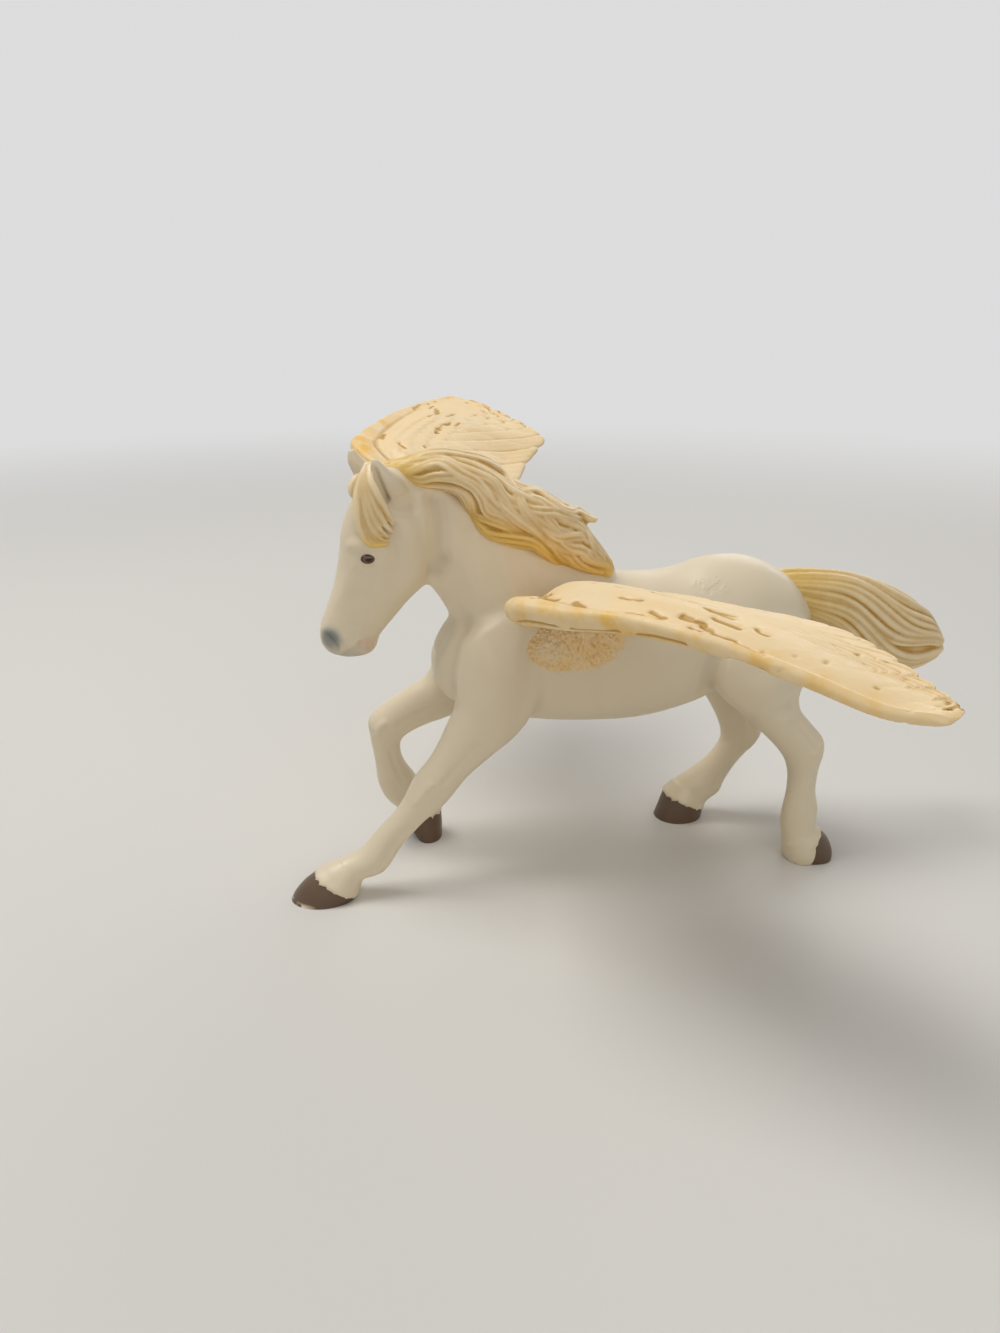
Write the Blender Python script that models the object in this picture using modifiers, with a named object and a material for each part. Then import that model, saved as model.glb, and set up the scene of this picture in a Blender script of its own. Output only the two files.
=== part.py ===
"""Pegasus figurine: one moulded plastic figure at a stretched gallop, with spread wings.

The horse faces -X, its near (left) side faces -Y, and it stands on Z = 0.
Sizes below are in millimetres and become metres in the meshes.
"""
import math

import bmesh
import bpy
import numpy as np

MM = 0.001

# Mesh fineness
VOXEL = 0.42            # cell size of the fused solid
TRIANGLES = 11600       # faces that the finished solid keeps
RING_SIDES = 28         # points around a body section
STEPS = 6               # sections drawn between two stations
BODY_RELAX = 14         # smoothing rounds where limbs meet the body
SKIN_RELAX = 2          # smoothing rounds of the whole figure
GROUND = 1.7            # height at which the soles are cut, which becomes Z = 0

# Body. A station is: upper or front point x, z, lower or rear point x, z, centre y, half width
TORSO = [
    (-27.5, 49.0, -27.5, 42.0, 0.0, 4.0),
    (-24.0, 54.5, -24.5, 38.2, 0.0, 8.0),
    (-17.0, 59.5, -17.5, 35.2, 0.0, 10.0),
    (-8.0, 62.0, -8.0, 32.9, 0.0, 10.9),
    (2.0, 63.0, 2.0, 31.9, 0.0, 11.4),
    (12.0, 62.3, 12.0, 31.8, 0.0, 11.6),
    (20.0, 62.6, 20.0, 33.0, 0.0, 11.2),
    (28.0, 64.8, 28.0, 35.6, 0.0, 10.8),
    (36.0, 64.6, 36.0, 40.4, 0.0, 10.2),
    (43.5, 61.2, 43.0, 44.6, 0.0, 8.6),
    (47.4, 57.2, 47.0, 47.5, 0.0, 6.0),
    (49.8, 53.0, 49.4, 49.5, 0.0, 3.0),
]
NECK = [
    (12.0, 60.0, -10.0, 45.0, 0.0, 8.8),
    (7.0, 63.5, -20.0, 49.5, 0.0, 8.8),
    (-1.0, 69.0, -22.8, 52.8, 0.0, 8.0),
    (-8.5, 73.5, -24.2, 55.8, 0.0, 7.0),
    (-14.5, 77.2, -26.2, 59.2, 0.0, 6.0),
    (-20.0, 80.3, -28.6, 62.5, 0.0, 5.3),
    (-26.5, 82.5, -31.0, 67.0, 0.0, 4.8),
    (-32.0, 83.0, -35.0, 72.0, 0.0, 4.2),
    (-35.5, 82.0, -37.5, 76.0, 0.0, 3.0),
]
HEAD = [
    (-37.0, 84.0, -32.5, 84.4, 0.0, 2.4),
    (-40.0, 81.3, -29.5, 82.5, 0.0, 4.0),
    (-42.4, 77.5, -27.5, 78.5, 0.0, 5.2),
    (-44.0, 73.0, -26.4, 73.0, 0.0, 5.9),
    (-44.7, 68.5, -26.0, 68.0, 0.0, 6.0),
    (-45.6, 64.0, -27.6, 62.6, 0.0, 5.5),
    (-47.1, 59.5, -31.4, 59.0, 0.0, 4.6),
    (-48.7, 55.8, -35.2, 54.8, 0.0, 4.0),
    (-49.2, 52.8, -37.7, 52.0, 0.0, 3.9),
    (-48.6, 50.6, -38.0, 50.2, 0.0, 3.7),
    (-46.8, 48.8, -39.6, 48.5, 0.0, 2.6),
]
NEAR_FORELEG = [
    (-14.0, 60.0, -3.0, 56.0, -6.0, 4.0),
    (-22.0, 54.0, -5.0, 48.0, -7.2, 5.0),
    (-24.4, 46.5, -7.0, 42.0, -8.2, 5.2),
    (-24.5, 39.5, -10.5, 34.5, -8.8, 4.8),
    (-26.5, 34.4, -17.5, 28.6, -9.4, 3.9),
    (-29.2, 29.6, -21.8, 25.2, -10.0, 3.4),
    (-32.5, 25.6, -26.2, 20.0, -10.4, 3.5),
    (-35.3, 20.3, -30.6, 16.4, -10.7, 2.8),
    (-39.7, 15.6, -35.0, 11.6, -11.0, 2.7),
    (-43.4, 11.4, -38.7, 6.4, -11.2, 3.2),
    (-47.6, 9.4, -43.0, 5.2, -11.3, 3.1),
    (-51.0, 8.0, -44.2, 3.0, -11.4, 4.0),
    (-50.5, 5.0, -46.0, 2.5, -11.4, 3.0),
]
FAR_FORELEG = [
    (-14.0, 60.0, -3.0, 56.0, 6.0, 4.0),
    (-22.0, 54.0, -6.0, 48.0, 7.0, 5.0),
    (-26.0, 47.0, -10.0, 42.0, 8.0, 5.0),
    (-27.8, 40.0, -15.0, 35.0, 8.6, 4.8),
    (-31.6, 37.3, -22.5, 30.6, 9.0, 4.0),
    (-36.0, 34.3, -28.5, 28.4, 9.4, 3.5),
    (-40.2, 30.6, -33.0, 25.8, 9.8, 3.6),
    (-40.2, 26.5, -33.7, 23.4, 10.0, 3.1),
    (-39.3, 20.0, -33.0, 20.2, 10.2, 2.7),
    (-38.9, 15.2, -30.8, 16.8, 10.4, 3.2),
    (-37.0, 10.8, -29.0, 13.6, 10.5, 3.1),
    (-33.5, 7.8, -26.5, 10.5, 10.6, 3.5),
    (-32.0, 6.5, -27.0, 8.5, 10.6, 3.0),
]
NEAR_HIND_LEG = [
    (27.0, 58.5, 45.0, 57.5, -5.0, 5.3),
    (24.5, 51.0, 48.8, 50.0, -6.5, 6.0),
    (25.5, 44.0, 48.0, 43.0, -8.0, 5.6),
    (29.0, 38.5, 45.5, 38.5, -9.0, 5.1),
    (34.5, 33.5, 45.6, 35.2, -9.8, 4.5),
    (39.2, 29.0, 48.0, 32.2, -10.4, 3.8),
    (42.6, 25.0, 51.2, 28.0, -10.8, 3.5),
    (43.9, 21.4, 50.4, 22.4, -11.0, 2.9),
    (44.0, 17.3, 50.1, 17.6, -11.2, 2.7),
    (43.5, 13.6, 51.1, 13.2, -11.3, 3.2),
    (43.3, 10.2, 50.9, 9.8, -11.3, 3.2),
    (44.0, 6.6, 51.5, 7.5, -11.4, 3.5),
    (45.0, 3.0, 53.0, 5.5, -11.4, 3.7),
    (46.5, 1.5, 52.0, 3.2, -11.4, 2.8),
]
FAR_HIND_LEG = [
    (27.0, 58.5, 45.0, 57.5, 5.0, 5.3),
    (24.5, 51.0, 48.6, 50.0, 6.5, 6.0),
    (26.0, 43.0, 47.0, 42.0, 8.0, 5.5),
    (29.5, 36.0, 45.5, 36.5, 9.0, 5.0),
    (33.2, 30.5, 45.5, 31.0, 9.6, 4.3),
    (36.2, 25.0, 46.0, 26.0, 10.0, 3.7),
    (37.4, 20.4, 46.8, 21.4, 10.3, 3.5),
    (34.9, 16.2, 41.8, 14.8, 10.5, 2.9),
    (31.5, 13.4, 38.9, 9.6, 10.7, 2.9),
    (28.6, 11.4, 38.4, 7.4, 10.8, 3.4),
    (26.6, 9.6, 35.4, 5.2, 10.9, 3.4),
    (25.6, 8.2, 34.6, 3.6, 11.0, 4.0),
    (27.5, 5.5, 32.5, 3.5, 11.0, 3.0),
]

# Hooves, from the hair line down past the ground, where they are cut flat
NEAR_FORE_HOOF = [
    (-52.0, 7.2, -44.4, 1.8, -11.4, 4.2),
    (-55.0, 4.8, -44.8, 0.6, -11.4, 4.7),
    (-57.2, 1.6, -45.0, -0.8, -11.4, 5.0),
    (-56.6, -1.2, -45.2, -1.2, -11.4, 4.9),
]
FAR_FORE_HOOF = [
    (-33.6, 7.6, -25.4, 8.2, 10.6, 3.8),
    (-33.0, 5.2, -25.2, 4.4, 10.6, 4.3),
    (-31.6, 2.8, -25.4, 0.2, 10.6, 4.5),
    (-30.6, 1.4, -26.2, -1.2, 10.6, 4.2),
]
NEAR_HIND_HOOF = [
    (45.2, 2.6, 51.8, 8.2, -11.3, 3.8),
    (46.4, 0.6, 53.8, 6.4, -11.0, 4.2),
    (48.2, -1.2, 55.2, 3.4, -10.7, 4.4),
    (49.4, -1.8, 55.0, 1.2, -10.6, 4.0),
]
FAR_HIND_HOOF = [
    (25.3, 8.0, 34.4, 3.6, 11.0, 4.2),
    (24.2, 4.5, 34.0, 1.6, 11.0, 4.7),
    (23.3, 1.2, 33.4, -0.8, 11.0, 5.0),
    (23.6, -1.2, 33.2, -1.2, 11.0, 4.9),
]

# Head set: the head turns a little toward the near side about the upright through the poll
HEAD_TURN = math.radians(-8.0)
POLL_X = -30.0
NEAR_EAR = [
    (-37.4, 78.5, -31.6, 80.2, -3.4, 1.9),
    (-38.3, 81.4, -33.2, 82.4, -3.8, 1.7),
    (-38.8, 84.2, -35.6, 84.6, -4.0, 1.1),
    (-38.6, 86.2, -37.6, 86.3, -4.1, 0.4),
]
FAR_EAR = [
    (-39.0, 78.5, -33.4, 80.2, 3.4, 1.9),
    (-40.4, 81.8, -35.8, 82.8, 3.8, 1.7),
    (-41.6, 84.6, -38.6, 85.2, 4.0, 1.1),
    (-41.4, 86.8, -40.2, 87.0, 4.0, 0.4),
]

# Mane and tail: a core like a body section list, and locks carved over it
MANE = [
    (-36.0, 84.4, -35.0, 81.5, 0.0, 1.4),
    (-30.8, 85.6, -29.0, 80.0, -0.8, 3.2),
    (-25.0, 85.8, -24.0, 79.8, -1.5, 4.2),
    (-19.0, 84.8, -20.0, 76.2, -2.0, 5.2),
    (-12.5, 81.2, -17.0, 71.4, -2.4, 6.0),
    (-6.0, 78.4, -9.6, 68.8, -2.4, 6.2),
    (0.0, 74.4, -4.6, 65.6, -2.0, 5.8),
    (4.0, 69.6, 0.8, 63.2, -1.5, 4.8),
    (8.5, 63.5, 5.5, 61.5, -1.0, 3.0),
]
TAIL = [
    (42.0, 60.8, 46.0, 55.0, 0.0, 2.5),
    (48.0, 60.6, 50.5, 53.0, 0.0, 3.0),
    (57.4, 59.4, 56.2, 48.3, 0.5, 3.8),
    (65.0, 57.0, 62.4, 43.4, 1.0, 4.3),
    (71.6, 53.8, 68.0, 40.2, 1.2, 4.3),
    (76.8, 50.0, 73.4, 38.6, 1.2, 3.7),
    (80.0, 46.0, 78.0, 40.0, 1.2, 2.6),
    (81.0, 44.0, 80.2, 42.0, 1.0, 1.2),
]
LOCK_SIDES = 8              # points around a lock
LOCK_FLATNESS = 0.75        # depth of a lock against its width
LOCK_WAVE = 0.11            # sideways swing of a lock, in radians around its core
LOCK_WAVE_RATE = 7.5        # radians of swing from root to tip
LOCK_SCATTER = 0.12         # how unevenly the locks are laid, in radians
LOCK_LIFT = (0.15, 0.55)    # how far a lock stands off its core at the root, and more at the tip
LOCK_SWELL = (0.35, 0.75)   # width of a lock at its ends, and more in the middle
# Locks of one core: how many, their radius, the share of the core that one covers,
# the angles around the core that they fill, the drift from root to tip, random seed
MANE_LOCKS = (26, 1.15, 0.36, (-3.0, 1.6), -0.5, 3)
TAIL_LOCKS = (18, 1.05, 0.97, (-3.1, 3.1), 0.25, 5)
FORELOCK_LOCKS = 5
FORELOCK_RADIUS = 1.0
FORELOCK_ROOT = (-38.6, -1.2, 84.6)
FORELOCK_ENDS = ((-40.6, -4.6, 70.6), (-34.4, -6.3, 71.2))
FORELOCK_BOWS = ((-2.2, -1.4, 0.0), (-0.6, -1.4, 0.0))

# Wings: the leading edge from root to tip, and the feather tips from root to tip,
# each point as x, distance from the middle, z
NEAR_LEAD = [
    (-9.0, 8.0, 56.5), (-13.0, 24.0, 62.5), (-16.5, 42.0, 68.0), (-11.0, 52.0, 69.5),
    (-3.0, 59.0, 70.2), (6.0, 67.0, 69.2), (15.0, 74.0, 66.8), (23.0, 80.0, 64.2),
    (30.0, 84.0, 64.0),
]
NEAR_TIPS = [
    (11.0, 8.0, 60.0), (13.0, 28.0, 65.2), (18.0, 43.0, 67.2), (23.0, 52.0, 68.0),
    (28.0, 58.5, 67.6), (30.5, 66.0, 66.6), (31.5, 74.0, 65.5), (31.8, 80.0, 64.9),
    (31.4, 83.8, 64.6),
]
FAR_LEAD = [
    (-11.0, 8.0, 57.0), (-25.0, 19.0, 71.0), (-37.5, 32.0, 81.0), (-36.5, 46.0, 82.8),
    (-31.5, 57.0, 84.8), (-26.0, 67.0, 86.2), (-20.5, 75.0, 87.0), (-16.0, 81.0, 87.4),
    (-12.5, 84.5, 87.6),
]
FAR_TIPS = [
    (8.0, 8.0, 59.0), (0.0, 24.0, 66.5), (-3.0, 40.0, 72.5), (0.5, 51.0, 76.0),
    (6.0, 60.0, 79.6), (3.5, 66.0, 82.0), (-1.0, 72.0, 84.2), (-6.5, 78.5, 86.4),
    (-11.0, 83.5, 87.5),
]
FEATHERS = 15               # long feathers of one wing
FEATHER_WIDTH = 6.6
FEATHER_THICKNESS = 1.3
FEATHER_TILT = math.radians(8.0)
FEATHER_SIDES = 12          # points around a feather
FEATHER_ROOTS = (0.03, 0.30)    # shares of the leading edge where the first and last start
FEATHER_STEP = (0.2, 0.15)  # lift of the long feathers off the web, and more for each second one
# A feather's width and depth from base to tip, as shares of the full ones
BLADE = (
    (0.00, 0.35, 0.90), (0.12, 0.60, 1.00), (0.35, 0.90, 1.00), (0.60, 1.00, 0.95),
    (0.80, 0.97, 0.85), (0.90, 0.82, 0.75), (0.96, 0.58, 0.60), (1.00, 0.16, 0.40),
)
COVERT_ROWS = (0.62, 0.38)  # how far each row of short feathers reaches
COVERTS = 14
COVERT_WIDTH = 5.7
COVERT_ROOTS = (0.03, 0.65)
COVERT_STEP = (0.55, 0.35)  # lift of the first row, and more for the next
WING_THICKNESS = 1.5        # web under the feathers
WEB_REACH = 0.93            # share of the wing's depth that the web covers
RIM_RADIUS = (3.0, 2.9, 2.9, 2.4, 2.0, 1.7, 1.4, 1.1, 0.8)
RIM_FLATNESS = 0.8
RIM_SIDES = 14
WEB_SIDES = 16
# Fleshy arm of the wing behind the rim: half widths from root to tip, place across the wing
ARM_RADIUS = (8.0, 9.0, 9.5, 8.0, 5.5, 3.2, 2.0, 1.2, 0.6)
ARM_SHARE = 0.33
ARM_LIFT = 1.1
ARM_FLATNESS = 0.30
ROOT_PAD_CENTRE = (-1.0, 10.2, 50.8)
ROOT_PAD_SIZE = (21.0, 5.0, 11.0)

NEAR, FAR = -1.0, 1.0
IVORY = (0.80, 0.74, 0.60, 1.0)
SATIN = 0.38


def between(rows, steps):
    """Rows of numbers drawn as one smooth Catmull-Rom run with more rows."""
    rows = np.asarray(rows, dtype=float)
    padded = np.vstack([2 * rows[0] - rows[1], rows, 2 * rows[-1] - rows[-2]])
    out = []
    for i in range(len(rows) - 1):
        a, b, c, d = padded[i:i + 4]
        for t in np.arange(steps) / steps:
            out.append(0.5 * (2 * b + (c - a) * t + (2 * a - 5 * b + 4 * c - d) * t ** 2
                              + (3 * b - a - 3 * c + d) * t ** 3))
    out.append(rows[-1])
    return np.array(out)


def at(rows, t):
    """The row at share t of the way along a smooth run."""
    run = between(rows, STEPS)
    x = np.clip(t, 0.0, 1.0) * (len(run) - 1)
    i = min(int(x), len(run) - 2)
    return run[i] + (run[i + 1] - run[i]) * (x - i)


def unit(v):
    return v / max(np.linalg.norm(v), 1e-9)


def add_loft(bm, fronts, backs, halves, across, sides=RING_SIDES):
    """Closed loft through elliptic rings, each from a front point to a back point."""
    rings = []
    angles = np.linspace(0.0, 2 * math.pi, sides, endpoint=False)
    for front, back, half, side in zip(fronts, backs, halves, across):
        centre = (front + back) / 2
        arm = (front - back) / 2
        ring = [centre + arm * math.cos(a) + side * half * math.sin(a) for a in angles]
        rings.append([bm.verts.new(p * MM) for p in ring])
    faces = []
    for lower, upper in zip(rings, rings[1:]):
        for i in range(sides):
            j = (i + 1) % sides
            faces.append(bm.faces.new((lower[i], lower[j], upper[j], upper[i])))
    faces.append(bm.faces.new(rings[0][::-1]))
    faces.append(bm.faces.new(rings[-1]))
    bmesh.ops.recalc_face_normals(bm, faces=faces)


def add_body_section(bm, stations):
    """Loft of a section list: front x, z, back x, z, centre y, half width."""
    run = between(stations, STEPS)
    fronts = np.column_stack([run[:, 0], run[:, 4], run[:, 1]])
    backs = np.column_stack([run[:, 2], run[:, 4], run[:, 3]])
    across = np.tile([0.0, 1.0, 0.0], (len(run), 1))
    add_loft(bm, fronts, backs, run[:, 5], across)


def add_strand(bm, path, radii, normals, flat=LOCK_FLATNESS, sides=LOCK_SIDES):
    """Tapered strand along a path, flattened along the normals."""
    tangents = np.gradient(path, axis=0)
    fronts, backs, across = [], [], []
    for point, tangent, radius, normal in zip(path, tangents, radii, normals):
        side = unit(np.cross(unit(tangent), normal))
        fronts.append(point + side * radius)
        backs.append(point - side * radius)
        across.append(unit(np.cross(side, unit(tangent))))
    add_loft(bm, np.array(fronts), np.array(backs), np.asarray(radii) * flat, across, sides)


def turn_head(points):
    """Points of the head turned about the upright through the poll."""
    c, s = math.cos(HEAD_TURN), math.sin(HEAD_TURN)
    x, y = points[:, 0] - POLL_X * MM, points[:, 1].copy()
    turned = points.copy()
    turned[:, 0] = POLL_X * MM + x * c + y * s
    turned[:, 1] = y * c - x * s
    return turned


def core_point(core, t, angle, lift=0.0):
    """Point and outward normal on a mane or tail core."""
    fx, fz, bx, bz, y, half = at(core, t)
    centre = np.array([(fx + bx) / 2, y, (fz + bz) / 2])
    arm = np.array([(fx - bx) / 2, 0.0, (fz - bz) / 2])
    side = np.array([0.0, half, 0.0])
    radius = np.linalg.norm(arm)
    normal = unit(arm / radius * math.cos(angle) / radius
                  + side / half * math.sin(angle) / half)
    return centre + arm * math.cos(angle) + side * math.sin(angle) + normal * lift, normal


def swell(t):
    """Width of a lock at share t of its length: thin at both ends."""
    return LOCK_SWELL[0] + LOCK_SWELL[1] * math.sin(math.pi * (0.12 + 0.80 * t))


def add_locks(bm, core, locks):
    """Wavy locks laid over a core, each from root to tip along it."""
    count, radius, span, angles, drift, seed = locks
    rng = np.random.default_rng(seed)
    starts = rng.permutation(count) / count * (1.0 - span)
    for start, middle in zip(starts, np.linspace(angles[0], angles[1], count)):
        angle = middle + rng.uniform(-LOCK_SCATTER, LOCK_SCATTER)
        phase = rng.uniform(0, 2 * math.pi)
        path, radii, normals = [], [], []
        for t in np.linspace(0.0, 1.0, 14):
            swing = LOCK_WAVE * math.sin(phase + t * LOCK_WAVE_RATE)
            lift = radius * (LOCK_LIFT[0] + LOCK_LIFT[1] * t ** 3)
            point, normal = core_point(core, start + span * t, angle + drift * t + swing, lift)
            path.append(point)
            normals.append(normal)
            radii.append(radius * swell(t))
        add_strand(bm, np.array(path), radii, normals)


def add_forelock(bm):
    """Short locks from between the ears down the near side of the forehead."""
    root = np.array(FORELOCK_ROOT)
    ends, bows = np.array(FORELOCK_ENDS), np.array(FORELOCK_BOWS)
    steps = np.linspace(0.0, 1.0, 12)
    for share in np.linspace(0.0, 1.0, FORELOCK_LOCKS):
        end = ends[0] + (ends[1] - ends[0]) * share
        bow = bows[0] + (bows[1] - bows[0]) * share
        path = np.array([root + (end - root) * t + bow * math.sin(math.pi * t) for t in steps])
        radii = [FORELOCK_RADIUS * swell(t) for t in steps]
        add_strand(bm, path, radii, np.tile([0.0, -1.0, 0.0], (len(path), 1)))


def wing_point(run, side):
    return np.array([run[0], run[1] * side, run[2]])


def add_feather(bm, base, tip, width, up, tilt, lift):
    """One blade with a rounded end, laid along the wing."""
    shares, widths, depths = np.array(BLADE).T
    along = unit(tip - base)
    side = unit(np.cross(along, up))
    side = side * math.cos(tilt) + up * math.sin(tilt)
    over = unit(np.cross(side, along))
    path = base + np.outer(shares, tip - base) + up * lift
    reach = np.outer(widths * width / 2, side)
    add_loft(bm, path + reach, path - reach, depths * FEATHER_THICKNESS / 2,
             np.tile(over, (len(path), 1)), FEATHER_SIDES)


def add_wing(bm, lead, tips, side):
    """Rim, arm, web, long feathers and rows of short feathers of one wing."""
    lead_run = np.array([wing_point(p, side) for p in between(lead, STEPS)])
    tips_run = np.array([wing_point(p, side) for p in between(tips, STEPS)])
    up = unit(np.cross(lead_run[-1] - lead_run[0], tips_run[0] - lead_run[0]))
    up = up if up[2] > 0 else -up
    ups = np.tile(up, (len(lead_run), 1))
    rim = between(np.array(RIM_RADIUS)[:, None], STEPS)[:, 0]
    add_strand(bm, lead_run, rim, ups, RIM_FLATNESS, RIM_SIDES)
    arm = between(np.array(ARM_RADIUS)[:, None], STEPS)[:, 0]
    arm_run = lead_run + (tips_run - lead_run) * ARM_SHARE + up * ARM_LIFT
    add_strand(bm, arm_run, arm, ups, ARM_FLATNESS, RIM_SIDES)
    web_back = lead_run + (tips_run - lead_run) * WEB_REACH
    add_loft(bm, lead_run, web_back, np.full(len(lead_run), WING_THICKNESS / 2), ups, WEB_SIDES)
    last = len(lead_run) - 1
    for k in range(FEATHERS):
        share = k / FEATHERS
        tip = tips_run[int(round(share * last))]
        base = lead_run[int(round(last * np.interp(share, (0.0, 1.0), FEATHER_ROOTS)))]
        lift = FEATHER_STEP[0] + FEATHER_STEP[1] * (k % 2)
        add_feather(bm, base, tip, FEATHER_WIDTH, up, FEATHER_TILT * side, lift)
    for row, reach in enumerate(COVERT_ROWS):
        lift = COVERT_STEP[0] + COVERT_STEP[1] * row
        for k in range(COVERTS):
            share = (k + 0.5) / COVERTS
            end = tips_run[int(round(share * last))]
            base = lead_run[int(round(last * np.interp(share, (0.0, 1.0), COVERT_ROOTS)))]
            tip = base + (end - base) * reach
            add_feather(bm, base, tip, COVERT_WIDTH, up, FEATHER_TILT * side, lift)
    add_ball(bm, ROOT_PAD_CENTRE, ROOT_PAD_SIZE, side)


def add_ball(bm, centre, size, side):
    """Ellipsoid of the given full sizes on one side of the body."""
    made = bmesh.ops.create_uvsphere(bm, u_segments=32, v_segments=16, radius=0.5)["verts"]
    for vert in made:
        for axis in range(3):
            vert.co[axis] = vert.co[axis] * size[axis] * MM
        vert.co.x += centre[0] * MM
        vert.co.y += centre[1] * side * MM
        vert.co.z += centre[2] * MM


def with_head_turned(bm, build):
    """Add what build makes to the mesh, turned as the head is."""
    before = len(bm.verts)
    build(bm)
    bm.verts.ensure_lookup_table()
    fresh = [bm.verts[i] for i in range(before, len(bm.verts))]
    points = turn_head(np.array([v.co[:] for v in fresh]))
    for vert, point in zip(fresh, points):
        vert.co = point


def to_mesh(bm, name):
    mesh = bpy.data.meshes.new(name)
    bm.to_mesh(mesh)
    bm.free()
    return mesh


def evaluated(mesh, name, prepare):
    """The mesh after the modifiers that prepare puts on it."""
    obj = bpy.data.objects.new(name, mesh)
    bpy.context.scene.collection.objects.link(obj)
    prepare(obj)
    depsgraph = bpy.context.evaluated_depsgraph_get()
    result = bpy.data.meshes.new_from_object(obj.evaluated_get(depsgraph))
    bpy.data.objects.remove(obj)
    return result


def fuse(obj):
    """Closed solids that overlap become one skin."""
    remesh = obj.modifiers.new("fuse", "REMESH")
    remesh.mode = "VOXEL"
    remesh.voxel_size = VOXEL * MM


def relax(mesh, rounds, amount=0.5):
    """Even out the skin by moving each point toward its neighbours."""
    count = len(mesh.vertices)
    points = np.empty(count * 3)
    mesh.vertices.foreach_get("co", points)
    points = points.reshape(-1, 3)
    edges = np.empty(len(mesh.edges) * 2, dtype=int)
    mesh.edges.foreach_get("vertices", edges)
    a, b = edges[0::2], edges[1::2]
    degree = np.bincount(edges, minlength=count)[:, None]
    for _ in range(rounds):
        total = np.column_stack([
            np.bincount(a, points[b, i], count) + np.bincount(b, points[a, i], count)
            for i in range(3)])
        points = points + (total / degree - points) * amount
    mesh.vertices.foreach_set("co", points.ravel())
    mesh.update()


def body_mesh():
    """Torso, neck, head and legs as one smooth body."""
    bm = bmesh.new()
    for stations in (TORSO, NECK, NEAR_FORELEG, FAR_FORELEG, NEAR_HIND_LEG, FAR_HIND_LEG):
        add_body_section(bm, stations)
    with_head_turned(bm, lambda target: add_body_section(target, HEAD))
    mesh = evaluated(to_mesh(bm, "body"), "body", fuse)
    relax(mesh, BODY_RELAX)
    return mesh


def figure_mesh():
    """The body with its hooves, hair, ears and wings, fused into one skin."""
    bm = bmesh.new()
    bm.from_mesh(body_mesh())
    for stations in (NEAR_FORE_HOOF, FAR_FORE_HOOF, NEAR_HIND_HOOF, FAR_HIND_HOOF):
        add_body_section(bm, stations)
    for stations in (NEAR_EAR, FAR_EAR):
        with_head_turned(bm, lambda target, s=stations: add_body_section(target, s))
    with_head_turned(bm, add_forelock)
    add_body_section(bm, MANE)
    add_locks(bm, MANE, MANE_LOCKS)
    add_body_section(bm, TAIL)
    add_locks(bm, TAIL, TAIL_LOCKS)
    add_wing(bm, NEAR_LEAD, NEAR_TIPS, NEAR)
    add_wing(bm, FAR_LEAD, FAR_TIPS, FAR)
    mesh = evaluated(to_mesh(bm, "figure"), "figure", fuse)
    relax(mesh, SKIN_RELAX)
    return mesh


def thin_out(obj):
    """Keep the number of faces that the finished solid may have."""
    faces = sum(len(p.vertices) - 2 for p in obj.data.polygons)
    decimate = obj.modifiers.new("fewer_faces", "DECIMATE")
    decimate.ratio = min(1.0, TRIANGLES / faces)
    decimate.use_collapse_triangulate = True


def keep_largest(bm):
    """Remove everything but the largest closed skin."""
    unseen = set(bm.verts)
    groups = []
    while unseen:
        stack = [unseen.pop()]
        group = list(stack)
        while stack:
            for edge in stack.pop().link_edges:
                for vert in edge.verts:
                    if vert in unseen:
                        unseen.remove(vert)
                        stack.append(vert)
                        group.append(vert)
        groups.append(group)
    groups.sort(key=len)
    for group in groups[:-1]:
        bmesh.ops.delete(bm, geom=group, context="VERTS")


def cut_soles(bm):
    """Cut the hooves flat on the ground and set the origin under the middle of the figure."""
    bmesh.ops.translate(bm, verts=bm.verts[:], vec=(0.0, 0.0, -GROUND * MM))
    geom = bm.verts[:] + bm.edges[:] + bm.faces[:]
    cut = bmesh.ops.bisect_plane(bm, geom=geom, plane_co=(0, 0, 0), plane_no=(0, 0, -1),
                                 clear_outer=True, dist=1e-7)
    rims = [e for e in cut["geom_cut"] if isinstance(e, bmesh.types.BMEdge)]
    fills = bmesh.ops.holes_fill(bm, edges=rims, sides=0)["faces"]
    bmesh.ops.triangulate(bm, faces=fills)
    bmesh.ops.recalc_face_normals(bm, faces=bm.faces[:])
    points = np.array([v.co[:] for v in bm.verts])
    middle = (points.min(axis=0) + points.max(axis=0)) / 2
    bmesh.ops.translate(bm, verts=bm.verts[:], vec=(-middle[0], -middle[1], 0.0))


def ivory_plastic():
    material = bpy.data.materials.new("ivory_plastic")
    material.use_nodes = True
    shader = material.node_tree.nodes["Principled BSDF"]
    shader.inputs["Base Color"].default_value = IVORY
    shader.inputs["Roughness"].default_value = SATIN
    return material


def main():
    for obj in list(bpy.data.objects):
        bpy.data.objects.remove(obj)
    mesh = evaluated(figure_mesh(), "figure", thin_out)
    bm = bmesh.new()
    bm.from_mesh(mesh)
    keep_largest(bm)
    cut_soles(bm)
    bm.to_mesh(mesh)
    bm.free()
    mesh.materials.clear()
    mesh.materials.append(ivory_plastic())
    pegasus = bpy.data.objects.new("pegasus", mesh)
    parts = bpy.data.collections.new("pegasus_figurine")
    bpy.context.scene.collection.children.link(parts)
    parts.objects.link(pegasus)


main()
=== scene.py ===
"""Pegasus figurine: carved skin, hair, feathers and paint of a moulded winged horse.

The shapes are drawn in a side view in millimetres, with the head toward -X and the near side
toward -Y. SHIFT takes them to the CAD model's place, and the meshes are in metres.
"""

import math

import bmesh
import bpy
import numpy as np
from bpy.props import FloatProperty, FloatVectorProperty, IntProperty, PointerProperty
from mathutils import Matrix, Vector
from mathutils.bvhtree import BVHTree


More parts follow.
